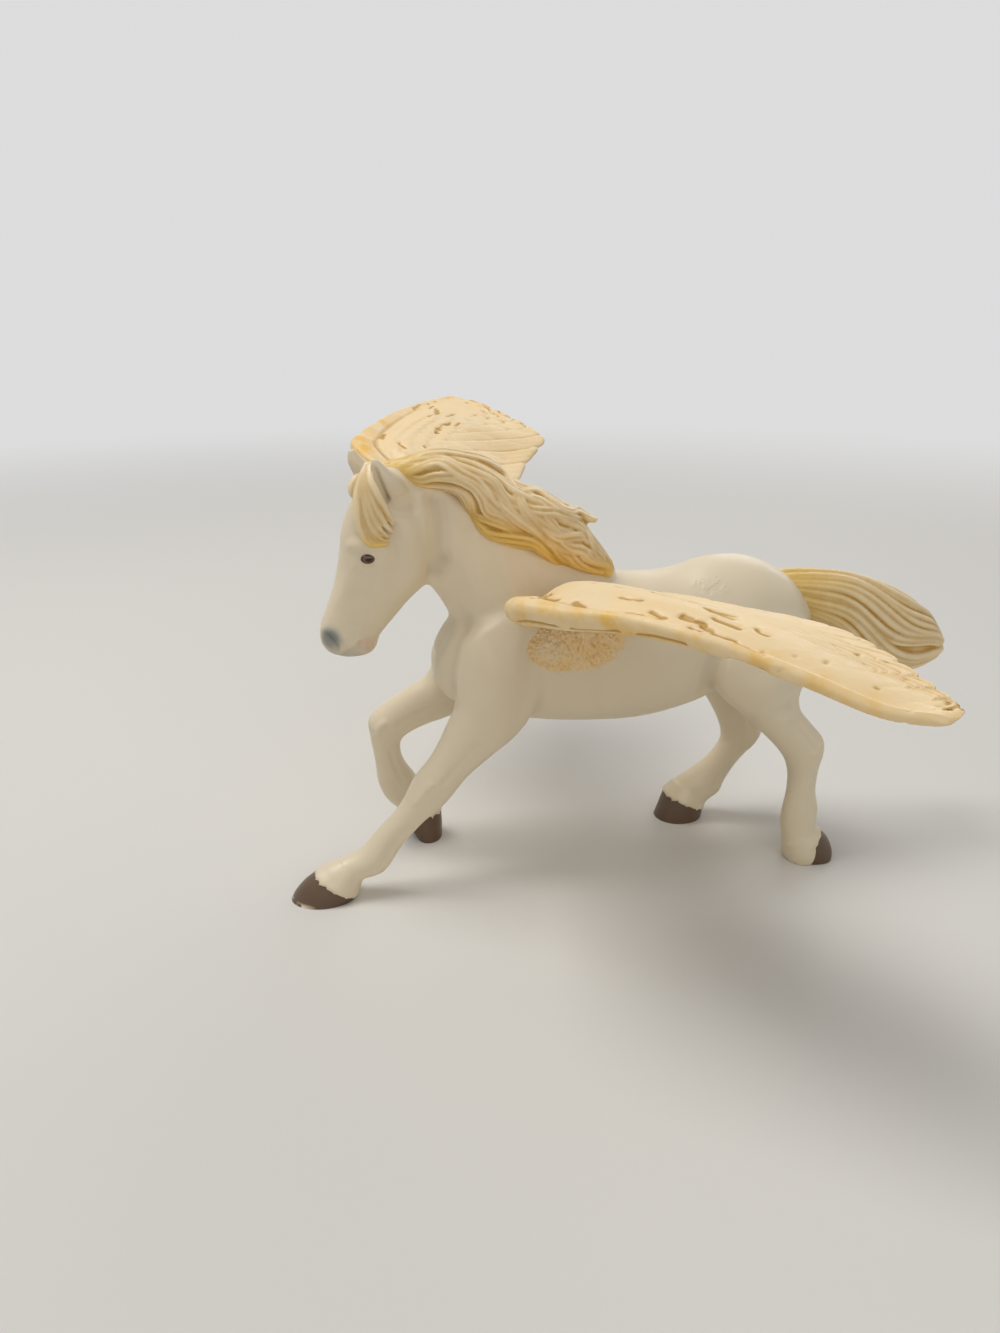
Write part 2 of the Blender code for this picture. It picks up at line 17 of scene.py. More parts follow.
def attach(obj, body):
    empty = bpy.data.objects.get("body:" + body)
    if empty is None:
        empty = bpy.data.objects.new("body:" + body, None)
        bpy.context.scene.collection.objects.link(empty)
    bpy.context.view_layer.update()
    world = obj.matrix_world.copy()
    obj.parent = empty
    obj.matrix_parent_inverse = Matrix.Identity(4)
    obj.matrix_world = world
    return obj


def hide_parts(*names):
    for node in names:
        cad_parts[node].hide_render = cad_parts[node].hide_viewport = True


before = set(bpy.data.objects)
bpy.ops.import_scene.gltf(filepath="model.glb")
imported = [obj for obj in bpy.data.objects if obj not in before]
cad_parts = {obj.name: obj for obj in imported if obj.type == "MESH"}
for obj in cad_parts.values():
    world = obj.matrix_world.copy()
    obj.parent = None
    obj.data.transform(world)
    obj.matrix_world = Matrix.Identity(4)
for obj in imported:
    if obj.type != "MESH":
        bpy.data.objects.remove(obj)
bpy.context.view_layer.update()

bl_info = {
    "name": "Pegasus Figurine",
    "version": (1, 0, 0),
    "blender": (4, 5, 0),
    "location": "3D View > Sidebar > Figurine",
    "description": "Carved and painted surfaces of a moulded winged horse",
    "category": "Add Mesh",
}

MM = 0.001
SHIFT = (-12.356, -0.187, -1.7)
STEPS = 6           # rows that a smooth run has for each of its given rows
MIRROR = ((1.0, 1.0, 1.0), (1.0, -1.0, 1.0))

# ---- Horse. A station is: x and z of its upper or front point, x and z of its lower or rear
# point, y of its centre, half width
TORSO = [
    (-27.5, 49.0, -27.5, 42.0, 0.0, 4.0),
    (-24.0, 54.5, -24.5, 38.2, 0.0, 8.0),
    (-17.0, 59.5, -17.5, 35.2, 0.0, 10.0),
    (-8.0, 62.0, -8.0, 32.9, 0.0, 10.9),
    (2.0, 63.0, 2.0, 31.9, 0.0, 11.4),
    (12.0, 62.3, 12.0, 31.8, 0.0, 11.6),
    (20.0, 62.6, 20.0, 33.0, 0.0, 11.2),
    (28.0, 64.8, 28.0, 35.6, 0.0, 10.8),
    (36.0, 64.6, 36.0, 40.4, 0.0, 10.2),
    (43.5, 61.2, 43.0, 44.6, 0.0, 8.6),
    (47.4, 57.2, 47.0, 47.5, 0.0, 6.0),
    (49.8, 53.0, 49.4, 49.5, 0.0, 3.0),
]
NECK = [
    (12.0, 60.0, -10.0, 45.0, 0.0, 8.8),
    (7.0, 63.5, -20.0, 49.5, 0.0, 8.8),
    (-1.0, 69.0, -22.8, 52.8, 0.0, 8.0),
    (-8.5, 73.5, -24.2, 55.8, 0.0, 7.0),
    (-14.5, 77.2, -26.2, 59.2, 0.0, 6.0),
    (-20.0, 80.3, -28.6, 62.5, 0.0, 5.3),
    (-26.5, 82.5, -31.0, 67.0, 0.0, 4.8),
    (-32.0, 83.0, -35.0, 72.0, 0.0, 4.2),
    (-35.5, 82.0, -37.5, 76.0, 0.0, 3.0),
]
HEAD = [
    (-37.0, 84.0, -32.5, 84.4, 0.0, 2.4),
    (-40.0, 81.3, -29.5, 82.5, 0.0, 4.0),
    (-42.4, 77.5, -27.5, 78.5, 0.0, 5.2),
    (-44.0, 73.0, -26.4, 73.0, 0.0, 5.9),
    (-44.7, 68.5, -26.0, 68.0, 0.0, 6.0),
    (-45.6, 64.0, -27.6, 62.6, 0.0, 5.5),
    (-47.1, 59.5, -31.4, 59.0, 0.0, 4.6),
    (-48.7, 55.8, -35.2, 54.8, 0.0, 4.0),
    (-49.2, 52.8, -37.7, 52.0, 0.0, 3.9),
    (-48.6, 50.6, -38.0, 50.2, 0.0, 3.7),
    (-46.8, 48.8, -39.6, 48.5, 0.0, 2.6),
]
NEAR_FORELEG = [
    (-14.0, 60.0, -3.0, 56.0, -6.0, 4.0),
    (-22.0, 54.0, -5.0, 48.0, -7.2, 5.0),
    (-24.4, 46.5, -7.0, 42.0, -8.2, 5.2),
    (-24.5, 39.5, -10.5, 34.5, -8.8, 4.8),
    (-26.5, 34.4, -17.5, 28.6, -9.4, 3.9),
    (-29.2, 29.6, -21.8, 25.2, -10.0, 3.4),
    (-32.5, 25.6, -26.2, 20.0, -10.4, 3.5),
    (-35.3, 20.3, -30.6, 16.4, -10.7, 2.8),
    (-39.7, 15.6, -35.0, 11.6, -11.0, 2.7),
    (-43.4, 11.4, -38.7, 6.4, -11.2, 3.2),
    (-47.6, 9.4, -43.0, 5.2, -11.3, 3.1),
    (-51.0, 8.0, -44.2, 3.0, -11.4, 4.0),
    (-50.5, 5.0, -46.0, 2.5, -11.4, 3.0),
]
FAR_FORELEG = [
    (-14.0, 60.0, -3.0, 56.0, 6.0, 4.0),
    (-22.0, 54.0, -6.0, 48.0, 7.0, 5.0),
    (-26.0, 47.0, -10.0, 42.0, 8.0, 5.0),
    (-27.8, 40.0, -15.0, 35.0, 8.6, 4.8),
    (-31.6, 37.3, -22.5, 30.6, 9.0, 4.0),
    (-36.0, 34.3, -28.5, 28.4, 9.4, 3.5),
    (-40.2, 30.6, -33.0, 25.8, 9.8, 3.6),
    (-40.2, 26.5, -33.7, 23.4, 10.0, 3.1),
    (-39.3, 20.0, -33.0, 20.2, 10.2, 2.7),
    (-38.9, 15.2, -30.8, 16.8, 10.4, 3.2),
    (-37.0, 10.8, -29.0, 13.6, 10.5, 3.1),
    (-33.5, 7.8, -26.5, 10.5, 10.6, 3.5),
    (-32.0, 6.5, -27.0, 8.5, 10.6, 3.0),
]
NEAR_HIND_LEG = [
    (28.0, 57.5, 43.5, 56.5, -5.0, 3.8),
    (24.5, 51.0, 48.8, 50.0, -6.5, 6.0),
    (25.5, 44.0, 48.0, 43.0, -8.0, 5.6),
    (29.0, 38.5, 45.5, 38.5, -9.0, 5.1),
    (34.5, 33.5, 45.6, 35.2, -9.8, 4.5),
    (39.2, 29.0, 48.0, 32.2, -10.4, 3.8),
    (42.6, 25.0, 51.2, 28.0, -10.8, 3.5),
    (43.9, 21.4, 50.4, 22.4, -11.0, 2.9),
    (44.0, 17.3, 50.1, 17.6, -11.2, 2.7),
    (43.5, 13.6, 51.1, 13.2, -11.3, 3.2),
    (43.3, 10.2, 50.9, 9.8, -11.3, 3.2),
    (44.0, 6.6, 51.5, 7.5, -11.4, 3.5),
    (44.3, 3.8, 52.4, 6.4, -11.3, 4.2),
    (45.0, 1.6, 52.0, 3.8, -11.2, 4.5),
    (46.6, 0.2, 51.0, 1.2, -11.1, 3.8),
]
FAR_HIND_LEG = [
    (28.0, 57.5, 43.5, 56.5, 5.0, 3.8),
    (24.5, 51.0, 48.6, 50.0, 6.5, 6.0),
    (26.0, 43.0, 47.0, 42.0, 8.0, 5.5),
    (29.5, 36.0, 45.5, 36.5, 9.0, 5.0),
    (33.2, 30.5, 45.5, 31.0, 9.6, 4.3),
    (36.2, 25.0, 46.0, 26.0, 10.0, 3.7),
    (37.4, 20.4, 46.8, 21.4, 10.3, 3.5),
    (34.9, 16.2, 41.8, 14.8, 10.5, 2.9),
    (31.5, 13.4, 38.9, 9.6, 10.7, 2.9),
    (28.6, 11.4, 38.4, 7.4, 10.8, 3.4),
    (26.6, 9.6, 35.4, 5.2, 10.9, 3.4),
    (25.6, 8.2, 34.6, 3.6, 11.0, 4.0),
    (27.5, 5.5, 32.5, 3.5, 11.0, 3.0),
]
HOOVES = {
    "near_fore_hoof": [
        (-52.0, 7.2, -44.4, 1.8, -11.4, 4.2),
        (-55.0, 4.8, -44.8, 0.6, -11.4, 4.7),
        (-57.2, 1.6, -45.0, -0.8, -11.4, 5.0),
        (-56.6, -1.2, -45.2, -1.2, -11.4, 4.9),
    ],
    "far_fore_hoof": [
        (-33.6, 7.6, -25.4, 8.2, 10.6, 3.8),
        (-33.0, 5.2, -25.2, 4.4, 10.6, 4.3),
        (-31.6, 2.8, -25.4, 0.2, 10.6, 4.5),
        (-30.6, 1.4, -26.2, -1.2, 10.6, 4.2),
    ],
    "near_hind_hoof": [
        (45.2, 2.6, 51.8, 8.2, -11.3, 3.8),
        (46.4, 0.6, 53.8, 6.4, -11.0, 4.2),
        (48.2, -1.2, 55.2, 3.4, -10.7, 4.4),
        (49.4, -1.8, 55.0, 1.2, -10.6, 4.0),
    ],
    "far_hind_hoof": [
        (25.3, 8.0, 34.4, 3.6, 11.0, 4.2),
        (24.2, 4.5, 34.0, 1.6, 11.0, 4.7),
        (23.3, 1.2, 33.4, -0.8, 11.0, 5.0),
        (23.6, -1.2, 33.2, -1.2, 11.0, 4.9),
    ],
}
GROUND = 1.7        # height of the soles in the drawing
BODY_CELL, BODY_SMOOTHING, SKIN_SMOOTHING = 0.42, 18, 4
HOOF_CELL = 0.20
NEAR, FAR = -1.0, 1.0
HEAD_TURN = math.radians(-8.0)
POLL_X = -30.0
NEAR_EAR = [
    (-37.4, 78.5, -31.6, 80.2, -3.4, 1.9),
    (-38.3, 81.4, -33.2, 82.4, -3.8, 1.7),
    (-38.8, 84.2, -35.6, 84.6, -4.0, 1.1),
    (-38.6, 86.2, -37.6, 86.3, -4.1, 0.4),
]
FAR_EAR = [
    (-39.0, 78.5, -33.4, 80.2, 3.4, 1.9),
    (-40.4, 81.8, -35.8, 82.8, 3.8, 1.7),
    (-41.6, 84.6, -38.6, 85.2, 4.0, 1.1),
    (-41.4, 86.8, -40.2, 87.0, 4.0, 0.4),
]

# ---- Hair. The cores of mane and tail have stations as the horse has
MANE = [
    (-36.0, 84.4, -35.0, 81.5, 0.0, 1.4),
    (-30.8, 85.6, -29.0, 80.0, -0.8, 3.2),
    (-25.0, 85.8, -24.0, 79.8, -1.5, 4.2),
    (-19.0, 84.8, -20.0, 76.2, -2.0, 5.2),
    (-12.5, 81.2, -17.0, 71.4, -2.4, 6.0),
    (-6.0, 78.4, -9.6, 68.8, -2.4, 6.2),
    (0.0, 74.4, -4.6, 65.6, -2.0, 5.8),
    (4.0, 69.6, 0.8, 63.2, -1.5, 4.8),
    (8.5, 63.5, 5.5, 61.5, -1.0, 3.0),
]
TAIL = [
    (42.0, 60.8, 46.0, 55.0, 0.0, 2.5),
    (48.0, 60.6, 50.2, 51.6, 0.0, 3.0),
    (57.4, 59.4, 56.2, 48.3, 0.5, 3.8),
    (65.0, 57.0, 62.4, 43.4, 1.0, 4.3),
    (71.6, 53.8, 68.0, 40.2, 1.2, 4.3),
    (76.8, 50.0, 73.4, 38.6, 1.2, 3.7),
    (80.0, 46.0, 78.0, 40.0, 1.2, 2.6),
    (81.0, 44.0, 80.2, 42.0, 1.0, 1.2),
]
# Locks of the mane in the side view as (radius, [(x, z), ...]); they lie on both of its sides
MANE_LOCKS = [
    (1.25, [(-32.0, 85.0), (-28.9, 86.0), (-25.0, 86.2), (-20.8, 85.4), (-17.0, 84.4),
            (-14.0, 82.6), (-12.3, 80.4), (-11.9, 78.2)]),
    (1.15, [(-33.4, 83.6), (-30.5, 85.1), (-27.4, 85.6), (-24.9, 85.4), (-22.7, 84.4),
            (-19.5, 83.3), (-16.3, 81.7), (-14.5, 79.4), (-12.7, 77.5), (-10.4, 75.3)]),
    (1.20, [(-32.5, 83.0), (-30.3, 83.8), (-27.0, 84.8), (-24.8, 84.6), (-22.2, 83.0),
            (-19.7, 81.7), (-17.8, 79.9), (-15.9, 77.7), (-13.1, 75.7), (-9.7, 72.5)]),
    (1.15, [(-32.2, 82.7), (-29.1, 82.0), (-26.2, 82.7), (-22.8, 82.5), (-19.7, 81.1),
            (-18.1, 78.9), (-17.2, 76.6), (-14.7, 75.4), (-12.0, 73.3), (-8.6, 71.0)]),
    (1.10, [(-31.6, 82.0), (-28.4, 80.9), (-25.2, 80.8), (-22.1, 80.3), (-20.3, 78.7),
            (-19.1, 75.8), (-17.1, 74.9), (-14.0, 73.6), (-11.2, 71.8), (-7.8, 69.9)]),
    (1.55, [(-27.0, 80.1), (-24.4, 80.2), (-21.8, 79.6), (-20.0, 76.9), (-18.4, 74.1),
            (-16.6, 72.2), (-14.2, 71.4), (-11.0, 70.4), (-8.2, 69.8), (-5.4, 67.2), (-3.0, 65.2),
            (-0.8, 63.9), (1.6, 63.5)]),
    (1.60, [(-20.8, 78.2), (-19.2, 75.3), (-17.6, 73.0), (-15.4, 72.0), (-12.4, 71.6),
            (-9.0, 70.7), (-6.5, 68.7), (-3.5, 65.8), (-1.0, 64.2), (1.2, 63.9)]),
    (1.10, [(-14.0, 74.0), (-11.2, 71.8), (-8.4, 70.0), (-5.5, 67.9), (-2.7, 65.9), (0.4, 64.2)]),
    (1.10, [(-10.4, 74.3), (-8.0, 72.2), (-5.2, 69.9), (-3.3, 67.6), (-1.0, 66.0), (2.5, 64.0)]),
    (1.15, [(-15.8, 79.8), (-14.7, 77.6), (-12.4, 75.3), (-9.4, 73.3), (-6.6, 71.1),
            (-4.2, 69.6)]),
    (1.35, [(-11.9, 79.4), (-8.6, 79.4), (-6.0, 78.2), (-3.8, 76.4), (-1.8, 75.4), (0.6, 74.6),
            (2.9, 73.6), (4.6, 73.2)]),
    (1.25, [(-11.6, 78.8), (-8.0, 78.2), (-5.5, 76.6), (-2.6, 75.0), (0.5, 73.8), (3.0, 72.8)]),
    (1.20, [(-11.7, 78.0), (-9.7, 76.6), (-7.3, 75.9), (-4.7, 75.4), (-1.8, 74.0), (1.4, 72.6)]),
    (1.15, [(-10.7, 76.5), (-8.0, 75.8), (-6.1, 74.1), (-4.0, 72.6), (-1.3, 72.5)]),
    (1.15, [(-8.8, 74.9), (-6.8, 73.2), (-4.3, 71.7), (-1.1, 71.4), (2.2, 70.6)]),
    (1.15, [(-6.7, 72.1), (-4.6, 71.0), (-2.5, 69.5), (0.0, 68.6), (2.3, 67.3), (6.0, 64.8)]),
    (1.10, [(-4.9, 69.6), (-2.3, 68.0), (-0.4, 66.0), (2.2, 64.4), (5.2, 63.4)]),
    (1.05, [(-1.1, 70.7), (0.4, 68.5), (2.4, 66.4), (6.5, 64.4)]),
    (1.10, [(1.0, 72.7), (1.9, 71.0), (2.6, 69.2), (3.8, 67.2)]),
    (1.15, [(-12.1, 79.4), (-11.2, 78.0), (-10.4, 76.1), (-8.4, 74.0), (-6.4, 71.6)]),
]
HAIRS_PER_LOCK = 3
CREST_HAIRS = 11
CREST_REACH = 1.2       # radians from the crest to each side that its hairs cover
TAIL_LOCKS = 15
TAIL_HAIRS = 2
# Forelock: front, middle and rear strand from root to tip, in the unturned head
FORELOCK = [
    [(-39.0, -1.6, 85.2), (-41.0, -3.2, 81.4), (-41.6, -4.4, 77.6), (-41.2, -5.2, 74.2),
     (-39.4, -5.9, 71.2), (-35.2, -6.6, 70.9)],
    [(-38.8, -1.6, 85.2), (-40.2, -3.6, 82.0), (-40.0, -5.0, 78.6), (-39.2, -5.8, 75.2),
     (-37.8, -6.2, 72.6), (-35.6, -6.6, 71.6)],
    [(-38.6, -1.6, 85.2), (-39.0, -4.2, 82.7), (-38.2, -5.5, 80.4), (-37.2, -5.9, 78.1),
     (-36.2, -6.2, 75.8), (-35.3, -6.5, 73.6)],
]
# A short curl in front of the forelock's root, in the unturned head
CURL = [(-39.2, -1.4, 83.0), (-40.8, -2.0, 82.4), (-41.7, -2.5, 81.1), (-41.7, -2.9, 79.8),
        (-41.0, -3.3, 78.9)]
FORELOCK_STRANDS = 6

# ---- Creases of the skin as (radius, depth, [(x, y, z), ...]) on the near side; a negative depth
# raises a ridge. Those of the head are in the unturned head. Both sides get them.
HEAD_CREASES = [
    (2.8, 1.00, [(-27.4, -4.8, 78.3), (-26.9, -5.2, 75.0), (-26.7, -5.3, 72.0),
                 (-26.8, -5.2, 69.5), (-26.6, -5.0, 67.0), (-27.0, -4.2, 64.6)]),
    (4.0, -0.55, [(-31.6, -5.2, 72.0), (-31.0, -5.2, 68.0), (-32.0, -4.9, 64.6)]),
    (3.0, 0.35, [(-35.8, -5.8, 72.5), (-35.0, -5.7, 69.0), (-35.4, -5.4, 65.6),
                 (-37.0, -4.8, 62.0)]),
    (2.2, 0.45, [(-37.4, -5.5, 78.4), (-34.8, -5.5, 77.0), (-31.9, -5.0, 77.2)]),
    (2.8, 0.40, [(-38.4, -5.4, 73.8), (-37.2, -5.5, 74.4)]),
    (3.6, 0.35, [(-41.2, -4.4, 65.0), (-41.6, -4.3, 61.0)]),
    (2.0, -0.42, [(-42.7, -3.6, 70.6), (-40.8, -4.9, 70.7), (-38.4, -5.6, 70.6),
                  (-36.9, -5.8, 69.8)]),
    (1.5, -0.20, [(-42.0, -4.4, 66.7), (-40.2, -5.1, 66.2), (-38.2, -5.5, 66.7)]),
    (3.0, -0.35, [(-46.0, -3.9, 60.5), (-44.6, -4.3, 64.0)]),
    (1.4, -0.40, [(-48.3, -2.2, 54.5), (-46.9, -3.1, 54.3), (-45.7, -3.5, 52.8),
                  (-45.5, -3.4, 51.0)]),
    (1.3, 0.85, [(-47.9, -2.3, 53.1), (-47.2, -2.8, 52.2), (-46.7, -3.0, 51.2)]),
    (1.0, 0.40, [(-46.3, -1.5, 49.2), (-44.6, -3.0, 49.9), (-43.0, -3.5, 50.8),
                 (-41.8, -3.7, 51.9)]),
    (1.8, -0.40, [(-40.8, -3.4, 50.4), (-39.4, -3.2, 51.2)]),
    (2.8, 0.30, [(-39.6, -3.7, 55.2), (-42.2, -3.9, 56.2)]),
]
BODY_CREASES = [
    (3.2, 0.50, [(-25.2, -4.8, 66.6), (-23.6, -5.3, 64.0), (-22.8, -5.2, 61.2),
                 (-22.4, -5.0, 57.8)]),
    (3.4, 0.75, [(-22.0, -6.6, 54.6), (-23.2, -7.3, 50.8), (-24.0, -7.7, 47.4),
                 (-24.4, -8.4, 43.4), (-24.8, -9.4, 39.6)]),
    (3.6, 0.50, [(-21.4, -8.2, 54.3), (-17.4, -8.7, 56.9), (-13.8, -8.9, 58.4)]),
    (3.2, 0.50, [(-27.0, -0.6, 45.6), (-26.4, -3.0, 50.0), (-24.6, -3.4, 53.6)]),
    (3.6, 0.65, [(-9.8, -11.4, 50.6), (-9.8, -12.0, 46.9), (-10.2, -12.2, 43.0),
                 (-11.6, -12.0, 39.4), (-13.4, -10.6, 36.0)]),
    (4.0, 0.85, [(26.6, -10.8, 50.0), (25.9, -10.6, 45.6), (25.4, -9.6, 41.4),
                 (25.4, -8.0, 38.0)]),
    (3.0, 0.50, [(34.6, -12.2, 33.6), (38.0, -13.6, 35.8), (41.6, -13.4, 37.2)]),
    (4.6, -0.50, [(30.5, -13.4, 46.0), (33.5, -13.8, 42.5), (37.0, -13.6, 41.0)]),
    (4.0, 0.35, [(42.8, -11.2, 52.0), (43.4, -12.0, 46.0), (42.8, -12.4, 42.0)]),
    (5.0, -0.45, [(-19.0, -12.2, 50.0), (-17.0, -13.0, 45.0), (-17.6, -13.2, 40.6)]),
    (3.6, 0.30, [(-12.0, -7.2, 68.0), (-9.4, -8.4, 63.0), (-8.4, -9.4, 59.6)]),
    (3.4, 0.28, [(-19.5, -6.0, 73.0), (-17.0, -6.6, 68.0), (-15.6, -7.2, 63.0)]),
    (3.0, 0.30, [(3.7, -11.3, 45.8), (5.0, -10.6, 42.0), (5.5, -9.7, 38.3)]),
]
# Tendon grooves of the legs as (leg, first and last station, share from front to back, depth)
TENDONS = [
    (NEAR_FORELEG, 7.3, 9.0, 0.66, 0.32), (FAR_FORELEG, 7.3, 9.0, 0.66, 0.32),
    (NEAR_HIND_LEG, 7.2, 9.0, 0.66, 0.32), (FAR_HIND_LEG, 7.2, 9.0, 0.66, 0.32),
    (NEAR_FORELEG, 3.6, 5.4, 0.52, 0.28), (FAR_FORELEG, 3.6, 5.4, 0.52, 0.28),
    (NEAR_HIND_LEG, 4.2, 5.8, 0.62, 0.32), (FAR_HIND_LEG, 4.2, 5.8, 0.62, 0.32),
    (NEAR_FORELEG, 5.7, 6.5, 0.28, -0.30), (FAR_FORELEG, 5.7, 6.5, 0.28, -0.30),
    (NEAR_HIND_LEG, 5.9, 6.4, 0.80, -0.30), (FAR_HIND_LEG, 5.9, 6.4, 0.80, -0.30),
]
TENDON_RADIUS = 1.3
EAR_HOLLOW = (0.95, 0.95)   # radius and depth
FRINGE_TUFTS = 34
FRINGE_RADII = (0.8, 0.72, 0.60, 0.50, 0.40, 0.28, 0.14)    # of a tuft from root to tip

# ---- Wings: leading edge and feather tips from root to tip, each as x, distance from the middle, z
NEAR_LEAD = [
    (-9.0, 8.0, 56.5), (-13.0, 24.0, 62.5), (-16.5, 42.0, 68.0), (-11.0, 52.0, 69.5),
    (-3.0, 59.0, 70.2), (6.0, 67.0, 69.2), (15.0, 74.0, 66.8), (23.0, 80.0, 64.2),
    (30.0, 84.0, 64.0),
]
NEAR_TIPS = [
    (11.0, 8.0, 60.0), (13.0, 28.0, 65.2), (18.0, 43.0, 67.2), (23.0, 52.0, 68.0),
    (28.0, 58.5, 67.6), (30.5, 66.0, 66.6), (31.5, 74.0, 65.5), (31.8, 80.0, 64.9),
    (31.4, 83.8, 64.6),
]
FAR_LEAD = [
    (-11.0, 8.0, 57.0), (-25.0, 19.0, 71.0), (-37.5, 32.0, 81.0), (-36.5, 46.0, 82.8),
    (-31.5, 57.0, 84.8), (-26.0, 67.0, 86.2), (-20.5, 75.0, 87.0), (-16.0, 81.0, 87.4),
    (-12.5, 84.5, 87.6),
]
FAR_TIPS = [
    (8.0, 8.0, 59.0), (0.0, 24.0, 66.5), (-3.0, 40.0, 72.5), (0.5, 51.0, 76.0),
    (6.0, 60.0, 79.6), (3.5, 66.0, 82.0), (-1.0, 72.0, 84.2), (-6.5, 78.5, 86.4),
    (-11.0, 83.5, 87.5),
]
WING_RINGS = 320
WING_SIDES = 200
WING_THICKNESS = 1.5
RIM_RADIUS = (3.0, 2.9, 2.9, 2.4, 2.0, 1.7, 1.4, 1.1, 0.8)
RIM_FLATNESS = 0.8
ARM_HEIGHT = (3.4, 3.7, 3.8, 3.1, 2.1, 1.2, 0.5, 0.0, 0.0)  # fleshy arm behind the rim
ARM_DEPTH = (0.02, 0.32, 0.86)      # shares across the wing where the arm starts, peaks and ends
FEATHER_ROOTS = (0.03, 0.30)
# Of each wing: long feathers, their step and groove at the root and tip, notches of the rear edge
# at the root and tip, the step between rows of short feathers, pits and longer cuts
NEAR_CARVING = {"feathers": 15, "step": (0.05, 0.34), "groove": (0.04, 0.22), "notches": (0.3, 2.4),
                "scale_step": 0.12, "pits": 70, "cuts": 34, "seed": 4}
FAR_CARVING = {"feathers": 11, "step": (0.34, 0.60), "groove": (0.20, 0.42), "notches": (0.6, 2.3),
               "scale_step": 0.40, "pits": 24, "cuts": 15, "seed": 9}
SCALE_ROWS = (0.10, 0.46, 4)    # shares where the rows of short feathers start and end, and rows
# Grooves along the front edge, each from one share of the wing's length to another
FRONT_GROOVES = ((0.10, 0.21), (0.24, 0.36), (0.38, 0.47), (0.50, 0.58), (0.64, 0.70))
FRONT_GROOVE = (1.1, 0.60)      # radius and depth
MARK_WASH = 0.8                 # how much more wash the pits, cuts and grooves take
ROOT_PAD_CENTRE = (-1.0, 10.2, 50.8)
ROOT_PAD_SIZE = (21.0, 5.0, 11.0)
PAD_CELL = 0.16
PAD_CUTS = 330
PAD_CUT, PAD_CUT_LENGTH = (0.32, 0.19), 1.7     # radius and depth, length

# Rounds of smoothing that a relief is measured over
SKIN_RELIEF, HAIR_RELIEF, FORELOCK_RELIEF, WING_RELIEF, PAD_RELIEF = 80, 30, 36, 40, 12

# ---- Places of paint
WORN_TOE, WORN_SIZE = (-56.5, -13.0, 2.0), (6.0, 6.0, 6.0)
# Tints of the head: centre in the unturned head, half sizes, strength and paint
HEAD_TINTS = [
    ((-47.8, -3.4, 53.0), (3.2, 4.0, 3.4), 0.9, "muzzle_grey"),
    ((-47.8, 3.4, 53.0), (3.2, 4.0, 3.4), 0.9, "muzzle_grey"),
    ((-44.0, 0.0, 49.5), (7.0, 6.0, 3.6), 0.45, "muzzle_grey"),
    ((-40.6, 0.0, 51.6), (3.0, 6.0, 2.6), 0.6, "mouth_pink"),
]
# Drops of varnish: place and half sizes
VARNISH_SPOTS = [
    ((26.0, -7.5, 60.6), (4.5, 5.0, 3.2)),
    ((-28.3, -13.0, 26.8), (1.4, 1.6, 1.4)),
    ((-24.3, -10.2, 39.0), (0.9, 1.4, 0.9)),
    ((-47.2, -11.8, 9.6), (1.3, 2.0, 1.3)),
]
EYE_CENTRE = (-39.9, 4.95, 68.3)
EYE_SIZE = (1.5, 0.75, 0.95)
BUBBLE_HEIGHT = 20.0        # of the varnish drops, against the height of the paint film
MOTTLE_RANGE = (0.2, 0.8)   # mottling where the paint is at its smoothest and roughest
PALE_BROWN = (0.19, 0.115, 0.062, 1.0)
PUPIL, EYE_RIM = (0.006, 0.005, 0.005, 1.0), (0.022, 0.012, 0.008, 1.0)

# ---- Photo camera
CAMERA_PLACE = (-0.0564, -0.1946, 0.1133)
CAMERA_YAW = math.radians(-8.8)
CAMERA_PITCH = math.radians(19.9)
CAMERA_LENS = 28.36
BACKGROUND = (0.72, 0.72, 0.72, 1.0)
STUDIO_LIGHT = (0.30, 0.30, 0.31, 1.0)
FLOOR = (0.70, 0.68, 0.63, 1.0)
FLOOR_SIZE = 3.0
FADE = (0.30, 0.75)         # distances between which the floor fades into the background
# Soft boxes: name, place, size, power
LAMPS = [
    ("key", (-0.30, 0.10, 0.75), (0.40, 0.40), 3.6),
    ("fill", (0.10, -0.80, 0.40), (0.70, 0.50), 1.3),
    ("back", (0.45, 0.60, 0.50), (0.50, 0.50), 1.2),
]
LAMP_AIM = (0.0, 0.0, 0.045)

RGBA = {"size": 4, "min": 0.0, "max": 1.0}


class FigurineSizes(bpy.types.PropertyGroup):
    """Sizes of the carving."""
    skin_cell: FloatProperty(
        name="Skin cell", description="Edge of the cells that the horse's skin is carved in",
        default=0.27 * MM, min=0.1 * MM, unit="LENGTH", precision=5)
    hair_cell: FloatProperty(
        name="Hair cell",
        description="Edge of the cells that mane, tail and forelock are carved in",
        default=0.20 * MM, min=0.1 * MM, unit="LENGTH", precision=5)
    carving: FloatProperty(
        name="Carving",
        description="Depth of the feather and crease carving against the real figure's",
        default=1.0, min=0.0, max=2.0, subtype="FACTOR")
    skin_faces: IntProperty(
        name="Skin faces", description="Triangles that the horse's skin keeps",
        default=190000, min=1000)
    hair_faces: IntProperty(
        name="Hair faces", description="Triangles that the mane keeps",
        default=170000, min=1000)
    small_faces: IntProperty(
        name="Small faces", description="Triangles that a hoof or a wing pad keeps",
        default=14000, min=1000)


